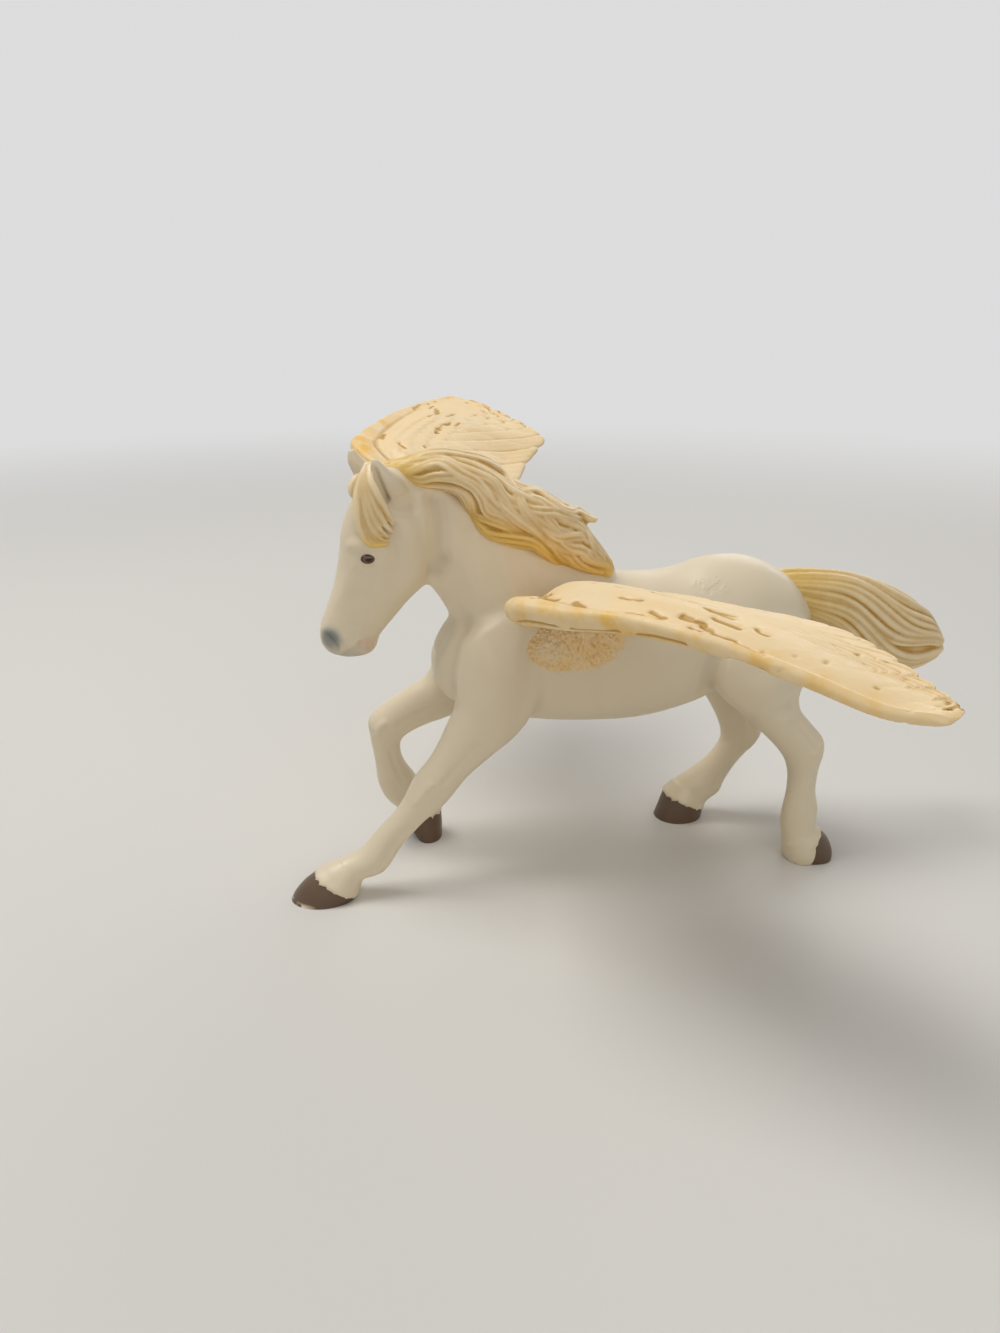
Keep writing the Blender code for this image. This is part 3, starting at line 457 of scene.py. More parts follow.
class FigurineColours(bpy.types.PropertyGroup):
    """Paints of the figure."""
    ivory: FloatVectorProperty(
        name="Ivory", description="Paint of the horse's skin", subtype="COLOR", **RGBA,
        default=(0.76, 0.65, 0.46, 1.0))
    # Painted shade: the darker ivory that the skin's creases and hollows take
    ivory_painted_shade: FloatVectorProperty(
        name="Ivory shade", description="Wash in the creases of the skin", subtype="COLOR", **RGBA,
        default=(0.44, 0.37, 0.24, 1.0))
    hair_cream: FloatVectorProperty(
        name="Hair cream", description="Ridges of mane and tail", subtype="COLOR", **RGBA,
        default=(0.84, 0.67, 0.40, 1.0))
    hair_ochre: FloatVectorProperty(
        name="Hair ochre", description="Wash in the grooves of mane and tail",
        subtype="COLOR", **RGBA, default=(0.52, 0.29, 0.045, 1.0))
    hair_yellow: FloatVectorProperty(
        name="Hair yellow", description="Tint of the mane's lower roll", subtype="COLOR", **RGBA,
        default=(0.82, 0.56, 0.15, 1.0))
    wing_cream: FloatVectorProperty(
        name="Wing cream", description="Paint of the feathers", subtype="COLOR", **RGBA,
        default=(0.86, 0.65, 0.36, 1.0))
    wing_yellow: FloatVectorProperty(
        name="Wing yellow", description="Patches along the front edge of the wings",
        subtype="COLOR", **RGBA, default=(0.82, 0.48, 0.08, 1.0))
    wing_ochre: FloatVectorProperty(
        name="Wing ochre", description="Wash between the feathers and along the front edge",
        subtype="COLOR", **RGBA, default=(0.50, 0.29, 0.055, 1.0))
    hoof_brown: FloatVectorProperty(
        name="Hoof brown", description="Paint of the hooves", subtype="COLOR", **RGBA,
        default=(0.100, 0.056, 0.028, 1.0))
    muzzle_grey: FloatVectorProperty(
        name="Muzzle grey", description="Tint of the nostrils and muzzle", subtype="COLOR", **RGBA,
        default=(0.17, 0.19, 0.19, 1.0))
    mouth_pink: FloatVectorProperty(
        name="Mouth pink", description="Tint at the corner of the mouth", subtype="COLOR", **RGBA,
        default=(0.62, 0.33, 0.20, 1.0))
    eye_brown: FloatVectorProperty(
        name="Eye brown", description="Ring around the pupil", subtype="COLOR", **RGBA,
        default=(0.17, 0.06, 0.022, 1.0))


# ---- Curves and lofts

def between(rows, steps=STEPS):
    """Rows of numbers drawn as one smooth Catmull-Rom run with more rows."""
    rows = np.asarray(rows, dtype=float)
    padded = np.vstack([2 * rows[0] - rows[1], rows, 2 * rows[-1] - rows[-2]])
    out = []
    for i in range(len(rows) - 1):
        a, b, c, d = padded[i:i + 4]
        for t in np.arange(steps) / steps:
            out.append(0.5 * (2 * b + (c - a) * t + (2 * a - 5 * b + 4 * c - d) * t ** 2
                              + (3 * b - a - 3 * c + d) * t ** 3))
    out.append(rows[-1])
    return np.array(out)


def at(run, t):
    """The row at share t of the way along a smooth run."""
    x = np.clip(t, 0.0, 1.0) * (len(run) - 1)
    i = min(int(x), len(run) - 2)
    return run[i] + (run[i + 1] - run[i]) * (x - i)


def unit(v):
    return v / max(np.linalg.norm(v), 1e-9)


def add_loft(bm, fronts, backs, halves, across, sides):
    """Closed loft through elliptic rings, each from a front point to a back point."""
    rings = []
    angles = np.linspace(0.0, 2 * math.pi, sides, endpoint=False)
    for front, back, half, side in zip(fronts, backs, halves, across):
        centre, arm = (front + back) / 2, (front - back) / 2
        ring = [centre + arm * math.cos(a) + side * half * math.sin(a) for a in angles]
        rings.append([bm.verts.new(p * MM) for p in ring])
    faces = []
    for lower, upper in zip(rings, rings[1:]):
        for i in range(sides):
            j = (i + 1) % sides
            faces.append(bm.faces.new((lower[i], lower[j], upper[j], upper[i])))
    faces.append(bm.faces.new(rings[0][::-1]))
    faces.append(bm.faces.new(rings[-1]))
    bmesh.ops.recalc_face_normals(bm, faces=faces)


def add_body_section(bm, stations, sides=36):
    """Loft of a section list: front x, z, back x, z, centre y, half width."""
    run = between(stations)
    fronts = np.column_stack([run[:, 0], run[:, 4], run[:, 1]])
    backs = np.column_stack([run[:, 2], run[:, 4], run[:, 3]])
    add_loft(bm, fronts, backs, run[:, 5], np.tile([0.0, 1.0, 0.0], (len(run), 1)), sides)


def add_strand(bm, path, radii, normals, flat=0.8, sides=8):
    """Tapered strand along a path, flattened along the normals."""
    tangents = np.gradient(path, axis=0)
    fronts, backs, across = [], [], []
    for point, tangent, radius, normal in zip(path, tangents, radii, normals):
        side = unit(np.cross(unit(tangent), normal))
        fronts.append(point + side * radius)
        backs.append(point - side * radius)
        across.append(unit(np.cross(side, unit(tangent))))
    add_loft(bm, np.array(fronts), np.array(backs), np.asarray(radii) * flat, across, sides)


def turn_head(points):
    """Head points in mm turned about the upright through the poll."""
    points = np.array(points, dtype=float)
    c, s = math.cos(HEAD_TURN), math.sin(HEAD_TURN)
    x, y = points[..., 0] - POLL_X, points[..., 1].copy()
    points[..., 0] = POLL_X + x * c + y * s
    points[..., 1] = y * c - x * s
    return points


def with_head_turned(bm, build):
    """Add what build makes to the mesh, turned as the head is."""
    before = len(bm.verts)
    build(bm)
    bm.verts.ensure_lookup_table()
    fresh = bm.verts[before:]
    for vert, point in zip(fresh, turn_head([np.array(v.co) / MM for v in fresh])):
        vert.co = point * MM


# ---- Skins: fused, smoothed, carved and made into a piece

def to_mesh(bm, name):
    mesh = bpy.data.meshes.new(name)
    bm.to_mesh(mesh)
    bm.free()
    return mesh


def evaluated(mesh, kind, settings):
    """The mesh after one modifier."""
    obj = bpy.data.objects.new("work", mesh)
    bpy.context.scene.collection.objects.link(obj)
    modifier = obj.modifiers.new("work", kind)
    for name, value in settings.items():
        setattr(modifier, name, value)
    depsgraph = bpy.context.evaluated_depsgraph_get()
    result = bpy.data.meshes.new_from_object(obj.evaluated_get(depsgraph))
    bpy.data.objects.remove(obj)
    bpy.data.meshes.remove(mesh)
    return result


def fused(bm, cell):
    """Closed solids that overlap become one skin of even cells."""
    return evaluated(to_mesh(bm, "skin"), "REMESH", {"mode": "VOXEL", "voxel_size": cell})


class Skin:
    """A mesh's points, normals and edges as arrays, in mm."""

    def __init__(self, mesh):
        self.mesh = mesh
        count = len(mesh.vertices)
        points = np.empty(count * 3)
        mesh.vertices.foreach_get("co", points)
        self.points = points.reshape(-1, 3) / MM
        edges = np.empty(len(mesh.edges) * 2, dtype=int)
        mesh.edges.foreach_get("vertices", edges)
        self.a, self.b = edges[0::2], edges[1::2]
        self.degree = np.bincount(edges, minlength=count)
        self.store()

    def store(self):
        """Write the points back and read the normals again."""
        self.mesh.vertices.foreach_set("co", (self.points * MM).ravel())
        self.mesh.update()
        normals = np.empty(len(self.points) * 3)
        self.mesh.vertex_normals.foreach_get("vector", normals)
        self.normals = normals.reshape(-1, 3)

    def around(self, values):
        """Each point's mean of its neighbours' values."""
        count = len(self.points)
        if values.ndim == 1:
            total = (np.bincount(self.a, values[self.b], count)
                     + np.bincount(self.b, values[self.a], count))
            return total / self.degree
        return np.column_stack([self.around(values[:, i]) for i in range(values.shape[1])])

    def relax(self, rounds):
        for _ in range(rounds):
            self.points = self.points + (self.around(self.points) - self.points) * 0.5
        self.store()

    def relief(self, rounds):
        """Height in mm over the surface that the same points make when smoothed."""
        smooth = self.points
        for _ in range(rounds):
            smooth = smooth + (self.around(smooth) - smooth) * 0.6
        return ((self.points - smooth) * self.normals).sum(axis=1)

    def push(self, heights):
        """Move each point along its normal."""
        self.points = self.points + self.normals * heights[:, None]
        self.store()

    def keep(self, name, values):
        """Store one number per point as a named attribute that a material can read."""
        layer = self.mesh.attributes.new(name, "FLOAT", "POINT")
        layer.data.foreach_set("value", values.astype(np.float32))


def stroke(skin, path, radius, depth):
    """Heights of a soft groove, or a ridge where depth is negative, along a path."""
    path = np.asarray(path, dtype=float)
    low, high = path.min(axis=0) - radius, path.max(axis=0) + radius
    index = np.nonzero(((skin.points > low) & (skin.points < high)).all(axis=1))[0]
    heights = np.zeros(len(skin.points))
    if not len(index):
        return heights
    points = skin.points[index]
    best = np.full(len(index), np.inf)
    for start, end in zip(path, path[1:]):
        along = end - start
        t = np.clip((points - start) @ along / max(along @ along, 1e-9), 0.0, 1.0)
        best = np.minimum(best, np.linalg.norm(points - start - t[:, None] * along, axis=1))
    fall = np.clip(1.0 - best / radius, 0.0, 1.0)
    heights[index] = -depth * fall * fall * (3.0 - 2.0 * fall)
    return heights


def lighter(mesh, most_faces):
    """The mesh with no more than the given number of triangles."""
    faces = sum(len(p.vertices) - 2 for p in mesh.polygons)
    if faces <= most_faces:
        return mesh
    settings = {"ratio": most_faces / faces, "use_collapse_triangulate": True}
    return evaluated(mesh, "DECIMATE", settings)


def piece(mesh, name, material):
    """A finished piece: placed in the CAD frame, smooth, painted, and riding on the figure."""
    mesh.transform(Matrix.Translation(Vector(SHIFT) * MM))
    for polygon in mesh.polygons:
        polygon.use_smooth = True
    mesh.materials.clear()
    mesh.materials.append(material)
    obj = bpy.data.objects.new(name, mesh)
    bpy.context.scene.collection.objects.link(obj)
    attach(obj, "root")
    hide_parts("pegasus")
    return obj


def keep_largest(mesh):
    """Remove everything but the largest closed skin."""
    count = len(mesh.vertices)
    edges = np.empty(len(mesh.edges) * 2, dtype=int)
    mesh.edges.foreach_get("vertices", edges)
    label = np.arange(count)
    a, b = edges[0::2], edges[1::2]
    while True:
        low = np.minimum(label[a], label[b])
        before = label.copy()
        np.minimum.at(label, a, low)
        np.minimum.at(label, b, low)
        label = label[label]
        if (label == before).all():
            break
    names, sizes = np.unique(label, return_counts=True)
    if len(names) == 1:
        return
    main_label = names[sizes.argmax()]
    bm = bmesh.new()
    bm.from_mesh(mesh)
    bm.verts.ensure_lookup_table()
    loose = [bm.verts[i] for i in np.nonzero(label != main_label)[0]]
    bmesh.ops.delete(bm, geom=loose, context="VERTS")
    bm.to_mesh(mesh)
    bm.free()


# ---- Paint

class Paint:
    """A node tree in the making, with short ways to add its nodes."""

    def __init__(self, tree):
        self.nodes, self.links = tree.nodes, tree.links

    def put(self, socket, value):
        """Join a socket to an output, or give it a constant value."""
        if isinstance(value, bpy.types.NodeSocket):
            self.links.new(value, socket)
        elif isinstance(value, (int, float)):
            socket.default_value = value
        elif value is not None:
            socket.default_value = tuple(value)

    def add(self, kind, **values):
        """A node with its inputs set; an input's spaces are underscores here."""
        node = self.nodes.new("ShaderNode" + kind)
        for name, value in values.items():
            self.put(node.inputs[name.replace("_", " ")], value)
        return node

    def place(self):
        """Place on the figure in metres."""
        return self.add("TexCoord").outputs["Object"]

    def math(self, operation, a, b=None, clamp=False):
        node = self.add("Math")
        node.operation, node.use_clamp = operation, clamp
        self.put(node.inputs[0], a)
        self.put(node.inputs[1], b)
        return node.outputs[0]

    def mix(self, share, first, second):
        """Colour between two others."""
        node = self.add("Mix")
        node.data_type = "RGBA"
        for socket, value in zip((0, 6, 7), (share, first, second)):
            self.put(node.inputs[socket], value)
        return node.outputs[2]

    def span(self, value, low, high, out_low=0.0, out_high=1.0):
        """The value mapped smoothly from one range to another and held inside it."""
        node = self.add("MapRange", Value=value)
        node.interpolation_type = "SMOOTHSTEP"
        for name, number in zip(("From Min", "From Max", "To Min", "To Max"),
                                (low, high, out_low, out_high)):
            node.inputs[name].default_value = number
        return node.outputs["Result"]

    def noise(self, place, scale, detail=3.0, roughness=0.55):
        return self.add("TexNoise", Vector=place, Scale=scale, Detail=detail,
                        Roughness=roughness).outputs["Fac"]

    def length(self, vector):
        node = self.add("VectorMath")
        node.operation = "LENGTH"
        self.put(node.inputs[0], vector)
        return node.outputs["Value"]

    def spot(self, centre, size):
        """1 at a place on the figure and 0 past an ellipsoid of the given half sizes."""
        place = self.place()
        node = self.add("Mapping")
        node.vector_type = "TEXTURE"
        node.inputs["Location"].default_value = (np.array(centre) + SHIFT) * MM
        node.inputs["Scale"].default_value = np.array(size) * MM
        self.put(node.inputs["Vector"], place)
        return self.span(self.length(node.outputs["Vector"]), 1.0, 0.35)

    def attribute(self, name):
        node = self.add("Attribute")
        node.attribute_name = name
        return node.outputs["Fac"]

    def group(self, tree, **values):
        """Outputs of a shared group with the given inputs."""
        node = self.nodes.new("ShaderNodeGroup")
        node.node_tree = tree
        for name, value in values.items():
            self.put(node.inputs[name.replace("_", " ")], value)
        return node.outputs

    def seen(self):
        """1 for rays from the camera or off a glossy surface."""
        path = self.add("LightPath")
        return self.math("MAXIMUM", path.outputs["Is Camera Ray"], path.outputs["Is Glossy Ray"])


def new_material(name):
    """A material, its Paint and the inputs of its Principled BSDF."""
    material = bpy.data.materials.new(name)
    material.use_nodes = True
    tree = material.node_tree
    return material, Paint(tree), tree.nodes["Principled BSDF"].inputs


def film(paint, shader, grain, gloss, depth, strength=0.6, height=None):
    """Give a shader the roughness range and the bump of its paint film."""
    paint.put(shader["Roughness"], paint.span(grain["Mottle"], *MOTTLE_RANGE, *gloss))
    bump = paint.add("Bump", Distance=depth, Strength=strength, Height=height or grain["Height"])
    paint.put(shader["Normal"], bump.outputs["Normal"])


def shared_group(name, inputs, outputs, build):
    """The shader group of that name, built on first use."""
    if name in bpy.data.node_groups:
        return bpy.data.node_groups[name]
    group = bpy.data.node_groups.new(name, "ShaderNodeTree")
    for label, kind, value in inputs:
        socket = group.interface.new_socket(name=label, in_out="INPUT", socket_type=kind)
        socket.default_value = value
    for label, kind in outputs:
        group.interface.new_socket(name=label, in_out="OUTPUT", socket_type=kind)
    build(Paint(group), group.nodes.new("NodeGroupInput").outputs,
          group.nodes.new("NodeGroupOutput").inputs)
    return group


def wash_and_shade_group():
    """Thin paint that gathers in the grooves and wears off the ridges, unevenly; on the skin the
    same darkening is painted shade in the creases.
    """
    def build(paint, given, result):
        patches = paint.noise(paint.place(), given["Patch Scale"], 4.0, 0.5)
        swing = paint.math("SUBTRACT", patches, 0.5)
        swing = paint.math("MULTIPLY", swing, given["Patchiness"])
        reach = paint.math("SUBTRACT", given["Full"], given["Start"])
        share = paint.math("SUBTRACT", given["Relief"], given["Start"])
        share = paint.math("DIVIDE", share, reach)
        share = paint.math("ADD", share, swing, clamp=True)
        paint.put(result["Color"], paint.mix(share, given["Paint"], given["Wash"]))

    return shared_group("groove_wash", [
        ("Paint", "NodeSocketColor", (0.8, 0.8, 0.8, 1.0)),
        # Wash is the colour in the grooves: a paint wash on hair and feathers, painted shade on the
        # skin
        ("Wash", "NodeSocketColor", (0.3, 0.2, 0.1, 1.0)),
        ("Relief", "NodeSocketFloat", 0.0),
        ("Start", "NodeSocketFloat", 0.0),
        ("Full", "NodeSocketFloat", -0.3),
        ("Patch Scale", "NodeSocketFloat", 150.0),
        ("Patchiness", "NodeSocketFloat", 0.5),
    ], [("Color", "NodeSocketColor")], build)


def grain_group():
    """Height of the brushed paint film: fine mottling with a few pits."""
    def build(paint, given, result):
        place = paint.place()
        fine = paint.noise(place, given["Fine"], 2.0, 0.5)
        coarse = paint.noise(place, given["Coarse"], 2.0, 0.5)
        cells = paint.add("TexVoronoi", Vector=place, Scale=given["Coarse"])
        pit = paint.span(cells.outputs["Distance"], 0.10, 0.30)
        pit = paint.math("MULTIPLY", pit, given["Pits"])
        height = paint.math("ADD", fine, coarse)
        paint.put(result["Height"], paint.math("ADD", height, pit))
        paint.put(result["Mottle"], coarse)

    return shared_group("paint_grain", [
        ("Fine", "NodeSocketFloat", 900.0),
        ("Coarse", "NodeSocketFloat", 220.0),
        ("Pits", "NodeSocketFloat", 0.0),
    ], [("Height", "NodeSocketFloat"), ("Mottle", "NodeSocketFloat")], build)


def skin_paint(colours):
    """Satin ivory with grey-brown painted shade in its creases, a grey muzzle, a pink mouth and
    drops of varnish.
    """
    material, paint, shader = new_material("ivory_skin")
    # Painted shade: the ivory darkens toward a grey-brown in the skin's creases and hollows, by
    # their relief
    wash_and_shade = paint.group(wash_and_shade_group(), Paint=colours.ivory, Wash=colours.ivory_painted_shade, Start=-0.06,
                       Full=-0.85, Patch_Scale=90.0, Patchiness=0.10,
                       Relief=paint.attribute("relief"))
    grain = paint.group(grain_group(), Fine=1600.0, Coarse=260.0)
    colour = wash_and_shade["Color"]
    for centre, size, strength, tint in HEAD_TINTS:
        share = paint.math("MULTIPLY", paint.spot(turn_head(centre), size), strength)
        colour = paint.mix(share, colour, getattr(colours, tint))
    paint.put(shader["Base Color"], colour)
    place = paint.place()
    drops = paint.span(paint.noise(place, 420.0, 2.0), 0.46, 0.53)
    varnish = paint.spot(*VARNISH_SPOTS[0])
    for centre, size in VARNISH_SPOTS[1:]:
        varnish = paint.math("MAXIMUM", varnish, paint.spot(centre, size))
    varnish = paint.math("MULTIPLY", drops, varnish)
    paint.put(shader["Coat Weight"], varnish)
    shader["Coat Roughness"].default_value = 0.06
    bubbles = paint.math("MULTIPLY", paint.noise(place, 900.0, 2.0), varnish)
    bubbles = paint.math("MULTIPLY", bubbles, BUBBLE_HEIGHT)
    film(paint, shader, grain, (0.30, 0.46), 0.00002, 0.5,
         paint.math("ADD", grain["Height"], bubbles))
    return material


def hair_paint(colours, name):
    """Cream ridges and ochre grooves, with a yellower lower roll."""
    material, paint, shader = new_material(name)
    grain = paint.group(grain_group(), Fine=1800.0, Coarse=420.0)
    cream = paint.mix(paint.attribute("tint"), colours.hair_cream, colours.hair_yellow)
    wash_and_shade = paint.group(wash_and_shade_group(), Paint=cream, Wash=colours.hair_ochre, Start=0.12, Full=-0.15,
                       Patch_Scale=260.0, Patchiness=0.55, Relief=paint.attribute("relief"))
    paint.put(shader["Base Color"], wash_and_shade["Color"])
    film(paint, shader, grain, (0.34, 0.55), 0.00004)
    return material


def wing_paint(colours):
    """Peach cream feathers with ochre in the cuts and yellow patches along the front edge."""
    material, paint, shader = new_material("feather_cream")
    grain = paint.group(grain_group(), Fine=1500.0, Coarse=620.0, Pits=0.5)
    place = paint.place()
    patches = paint.span(paint.noise(place, 170.0, 5.0), 0.38, 0.66)
    patches = paint.math("MULTIPLY", patches, paint.attribute("tint"), clamp=True)
    cream = paint.mix(paint.math("MULTIPLY", patches, 0.95), colours.wing_cream,
                      colours.wing_yellow)
    pale = paint.span(paint.noise(place, 75.0), 0.50, 0.72)
    cream = paint.mix(paint.math("MULTIPLY", pale, 0.45), cream, colours.ivory)
    wash_and_shade = paint.group(wash_and_shade_group(), Paint=cream, Wash=colours.wing_ochre, Start=-0.06, Full=-0.38,
                       Patch_Scale=170.0, Patchiness=0.35, Relief=paint.attribute("relief"))
    paint.put(shader["Base Color"], wash_and_shade["Color"])
    film(paint, shader, grain, (0.40, 0.58), 0.00005)
    return material


def hoof_paint(colours):
    """Satin chocolate brown, worn pale at the toe along the sole's edge."""
    material, paint, shader = new_material("hoof_brown")
    grain = paint.group(grain_group(), Fine=1500.0, Coarse=300.0)
    place = paint.place()
    split = paint.add("SeparateXYZ", Vector=place)
    edge = paint.span(split.outputs["Z"], 0.0009, 0.0002)
    worn = paint.math("MULTIPLY", edge, paint.span(paint.noise(place, 260.0), 0.48, 0.56))
    worn = paint.math("MULTIPLY", worn, paint.spot(WORN_TOE, WORN_SIZE))
    brown = paint.mix(paint.math("MULTIPLY", grain["Mottle"], 0.35), colours.hoof_brown, PALE_BROWN)
    paint.put(shader["Base Color"], paint.mix(worn, brown, colours.ivory))
    film(paint, shader, grain, (0.26, 0.42), 0.00003)
    return material


def eye_paint(colours):
    """Black pupil in a brown ring with a dark rim, under gloss."""
    material, paint, shader = new_material("painted_eye")
    ring = paint.attribute("ring")
    colour = paint.mix(paint.span(ring, 0.40, 0.50), PUPIL, colours.eye_brown)
    paint.put(shader["Base Color"], paint.mix(paint.span(ring, 0.74, 0.86), colour, EYE_RIM))
    shader["Roughness"].default_value = 0.12
    return material


# ---- Pieces

def horse_mesh(sizes):
    """Torso, neck, head, legs, ears and hair fringes over the hooves as one carved skin."""
    bm = bmesh.new()
    for stations in (TORSO, NECK, NEAR_FORELEG, FAR_FORELEG, NEAR_HIND_LEG, FAR_HIND_LEG):
        add_body_section(bm, stations)
    with_head_turned(bm, lambda target: add_body_section(target, HEAD))
    body = Skin(fused(bm, BODY_CELL * MM))
    body.relax(BODY_SMOOTHING)
    bm = bmesh.new()
    bm.from_mesh(body.mesh)
    for stations in (NEAR_EAR, FAR_EAR):
        with_head_turned(bm, lambda target, s=stations: add_body_section(target, s))
    for stations in HOOVES.values():
        add_fringe(bm, stations)
    skin = Skin(fused(bm, sizes.skin_cell))
    skin.relax(SKIN_SMOOTHING)
    crease(skin, sizes.carving)
    skin.points[:, 2] = np.maximum(skin.points[:, 2], GROUND)
    skin.store()
    return skin


def add_fringe(bm, stations):
    """Short tufts of hair from the pastern over the top of one hoof."""
    rng = np.random.default_rng(len(stations))
    run = between(stations)
    centres = (run[:, [0, 4, 1]] + run[:, [2, 4, 3]]) / 2
    up = unit(centres[0] - centres[6])
    for k in range(FRINGE_TUFTS):
        angle = 2 * math.pi * (k + rng.uniform(-0.2, 0.2)) / FRINGE_TUFTS
        reach = rng.uniform(0.04, 0.11)
        path = []
        for t in np.linspace(0.0, reach, 5):
            fx, fz, bx, bz, y, half = at(run, t)
            arm = np.array([(fx - bx) / 2, 0.0, (fz - bz) / 2])
            centre = np.array([(fx + bx) / 2, y, (fz + bz) / 2])
            path.append(centre + arm * math.cos(angle)
                        + np.array([0.0, half, 0.0]) * math.sin(angle))
        inner = (path[0] - centres[0]) * 0.66 + centres[0]
        path = np.array([inner + up * 3.0, inner + up * 1.4 + (path[0] - inner) * 0.5] + path)
        out = np.array([unit(p - centres[0] + up) for p in path])
        add_strand(bm, path, FRINGE_RADII, out, 0.6)


def crease(skin, amount):
    """Carve the creases and tendons of both sides into the skin."""
    for creases, turn in ((HEAD_CREASES, turn_head), (BODY_CREASES, np.array)):
        for radius, depth, path in creases:
            for flip in MIRROR:
                skin.push(stroke(skin, turn(np.array(path) * flip), radius, depth * amount))
    for leg, first, last, share, depth in TENDONS:
        run = between(leg)
        for side in (-1.0, 1.0):
            path = []
            for t in np.linspace(first, last, 8) / (len(leg) - 1):
                fx, fz, bx, bz, y, half = at(run, t)
                bulge = half * math.sqrt(1.0 - (2.0 * share - 1.0) ** 2)
                path.append((fx + (bx - fx) * share, y + side * bulge, fz + (bz - fz) * share))
            skin.push(stroke(skin, path, TENDON_RADIUS, depth * amount))
    for path, side in ((NEAR_EAR, NEAR), (FAR_EAR, FAR)):
        hollow = [((fx * 0.80 + bx * 0.20), y + side * half * 0.8, fz * 0.80 + bz * 0.20)
                  for fx, fz, bx, bz, y, half in path[:3]]
        radius, depth = EAR_HOLLOW
        skin.push(stroke(skin, turn_head(hollow), radius, depth * amount))
    skin.relax(1)


def wing_frame(lead, tips, side):
    """Smooth leading edge, feather tips and upward normal of one wing."""
    flip = np.array([1.0, side, 1.0])
    lead_run, tips_run = between(lead) * flip, between(tips) * flip
    up = unit(np.cross(lead_run[-1] - lead_run[0], tips_run[0] - lead_run[0]))
    return lead_run, tips_run, up if up[2] > 0 else -up


def wing_skin(lead, tips, side, carving, amount):
    """One wing as a closed shell of rings, thick at the front edge, with carved feathers."""
    lead_run, tips_run, up = wing_frame(lead, tips, side)
    rows = np.arange(len(lead_run))
    fine = np.linspace(0, len(lead_run) - 1, WING_RINGS)
    start = np.column_stack([np.interp(fine, rows, lead_run[:, i]) for i in range(3)])
    end = np.column_stack([np.interp(fine, rows, tips_run[:, i]) for i in range(3)])
    rim = np.interp(fine, rows, between(np.array(RIM_RADIUS)[:, None])[:, 0])
    length = np.linalg.norm(end - start, axis=1)
    chord = (end - start) / length[:, None]
    share = np.linspace(0.0, 1.0, WING_RINGS)
    # Rounded steps where the long feathers end
    v = share * carving["feathers"] % 1.0
    low, high = carving["notches"]
    bite = np.interp(share, (0.0, 0.5, 0.75, 0.96, 1.0), (low, low * 1.8, high, high, 0.3))
    length = length + bite * (0.40 - 0.85 * np.abs(2 * v - 1) ** 4)
    half = WING_SIDES // 2
    t = np.arange(half + 1) / half
    t = 0.7 * t + 0.3 * (1 - np.cos(math.pi * t)) / 2
    t = np.concatenate([t, t[-2:0:-1]])
    face = np.concatenate([np.ones(half + 1), -np.ones(half - 1)])
    ahead = -rim[:, None] + t[None, :] * (length + rim)[:, None]
    thick = RIM_FLATNESS * np.sqrt(np.maximum(rim[:, None] ** 2 - ahead ** 2, 0.0))
    web = WING_THICKNESS / 2 * np.clip(ahead / rim[:, None] * 1.2 + 1.0, 0.0, 1.0)
    rounding = np.clip((ahead - length[:, None] + 1.4) / 1.4, 0.0, 1.0)
    depth = ahead / length[:, None]
    across = np.clip(depth, 0.0, 1.0)
    web = web * np.sqrt(np.maximum(1.0 - rounding ** 2, 0.0)) * (1.0 - 0.3 * across)
    thick = (thick ** 3 + web ** 3) ** (1 / 3)
    thick *= np.sqrt(1.0 - np.clip((share - 0.955) / 0.046, 0.0, 1.0) ** 2)[:, None]
    arm = np.interp(fine, rows, between(np.array(ARM_HEIGHT)[:, None])[:, 0])
    first, peak, last = ARM_DEPTH
    rise = np.clip((depth - first) / (peak - first), 0.0, 1.0)
    fall = np.clip((last - depth) / (last - peak), 0.0, 1.0)
    thick = thick + arm[:, None] * np.where(face > 0, 1.0, 0.25)[None, :] * np.sin(
        math.pi / 2 * np.minimum(rise, fall)) ** 1.3
    heights = feather_heights(share[:, None], across, carving) * amount
    heights *= np.clip(thick / 0.3, 0.0, 1.0) * np.where(face > 0, 1.0, 0.7)[None, :]
    points = (start[:, None, :] + chord[:, None, :] * ahead[:, :, None]
              + up * ((thick + heights) * face[None, :])[:, :, None])
    mesh = ring_mesh(points)
    skin = Skin(mesh)
    marks = carve_marks(skin, points, carving, amount)
    skin.relax(1)
    skin.keep("relief", skin.relief(WING_RELIEF) + MARK_WASH * marks)
    front = np.clip(1.0 - ahead / 4.0, 0.0, 1.0) * np.clip(1.6 - share[:, None] * 1.3, 0.0, 1.0)
    skin.keep("tint", np.append((front + 0.10).ravel(), (0.3, 0.3)))
    return skin


def ring_mesh(points):
    """Closed mesh through rings of points, with a middle point at each end."""
    rings, sides = points.shape[:2]
    verts = np.vstack([points.reshape(-1, 3), points[0].mean(axis=0), points[-1].mean(axis=0)]) * MM
    faces = []
    for r in range(rings - 1):
        for i in range(sides):
            j = (i + 1) % sides
            faces.append((r * sides + i, r * sides + j, (r + 1) * sides + j, (r + 1) * sides + i))
    for ring, middle in ((0, rings * sides), (rings - 1, rings * sides + 1)):
        for i in range(sides):
            faces.append((ring * sides + i, ring * sides + (i + 1) % sides, middle))
    mesh = bpy.data.meshes.new("shell")
    mesh.from_pydata(verts.tolist(), [], faces)
    bm = bmesh.new()
    bm.from_mesh(mesh)
    bmesh.ops.recalc_face_normals(bm, faces=bm.faces[:])
    bm.to_mesh(mesh)
    bm.free()
    return mesh


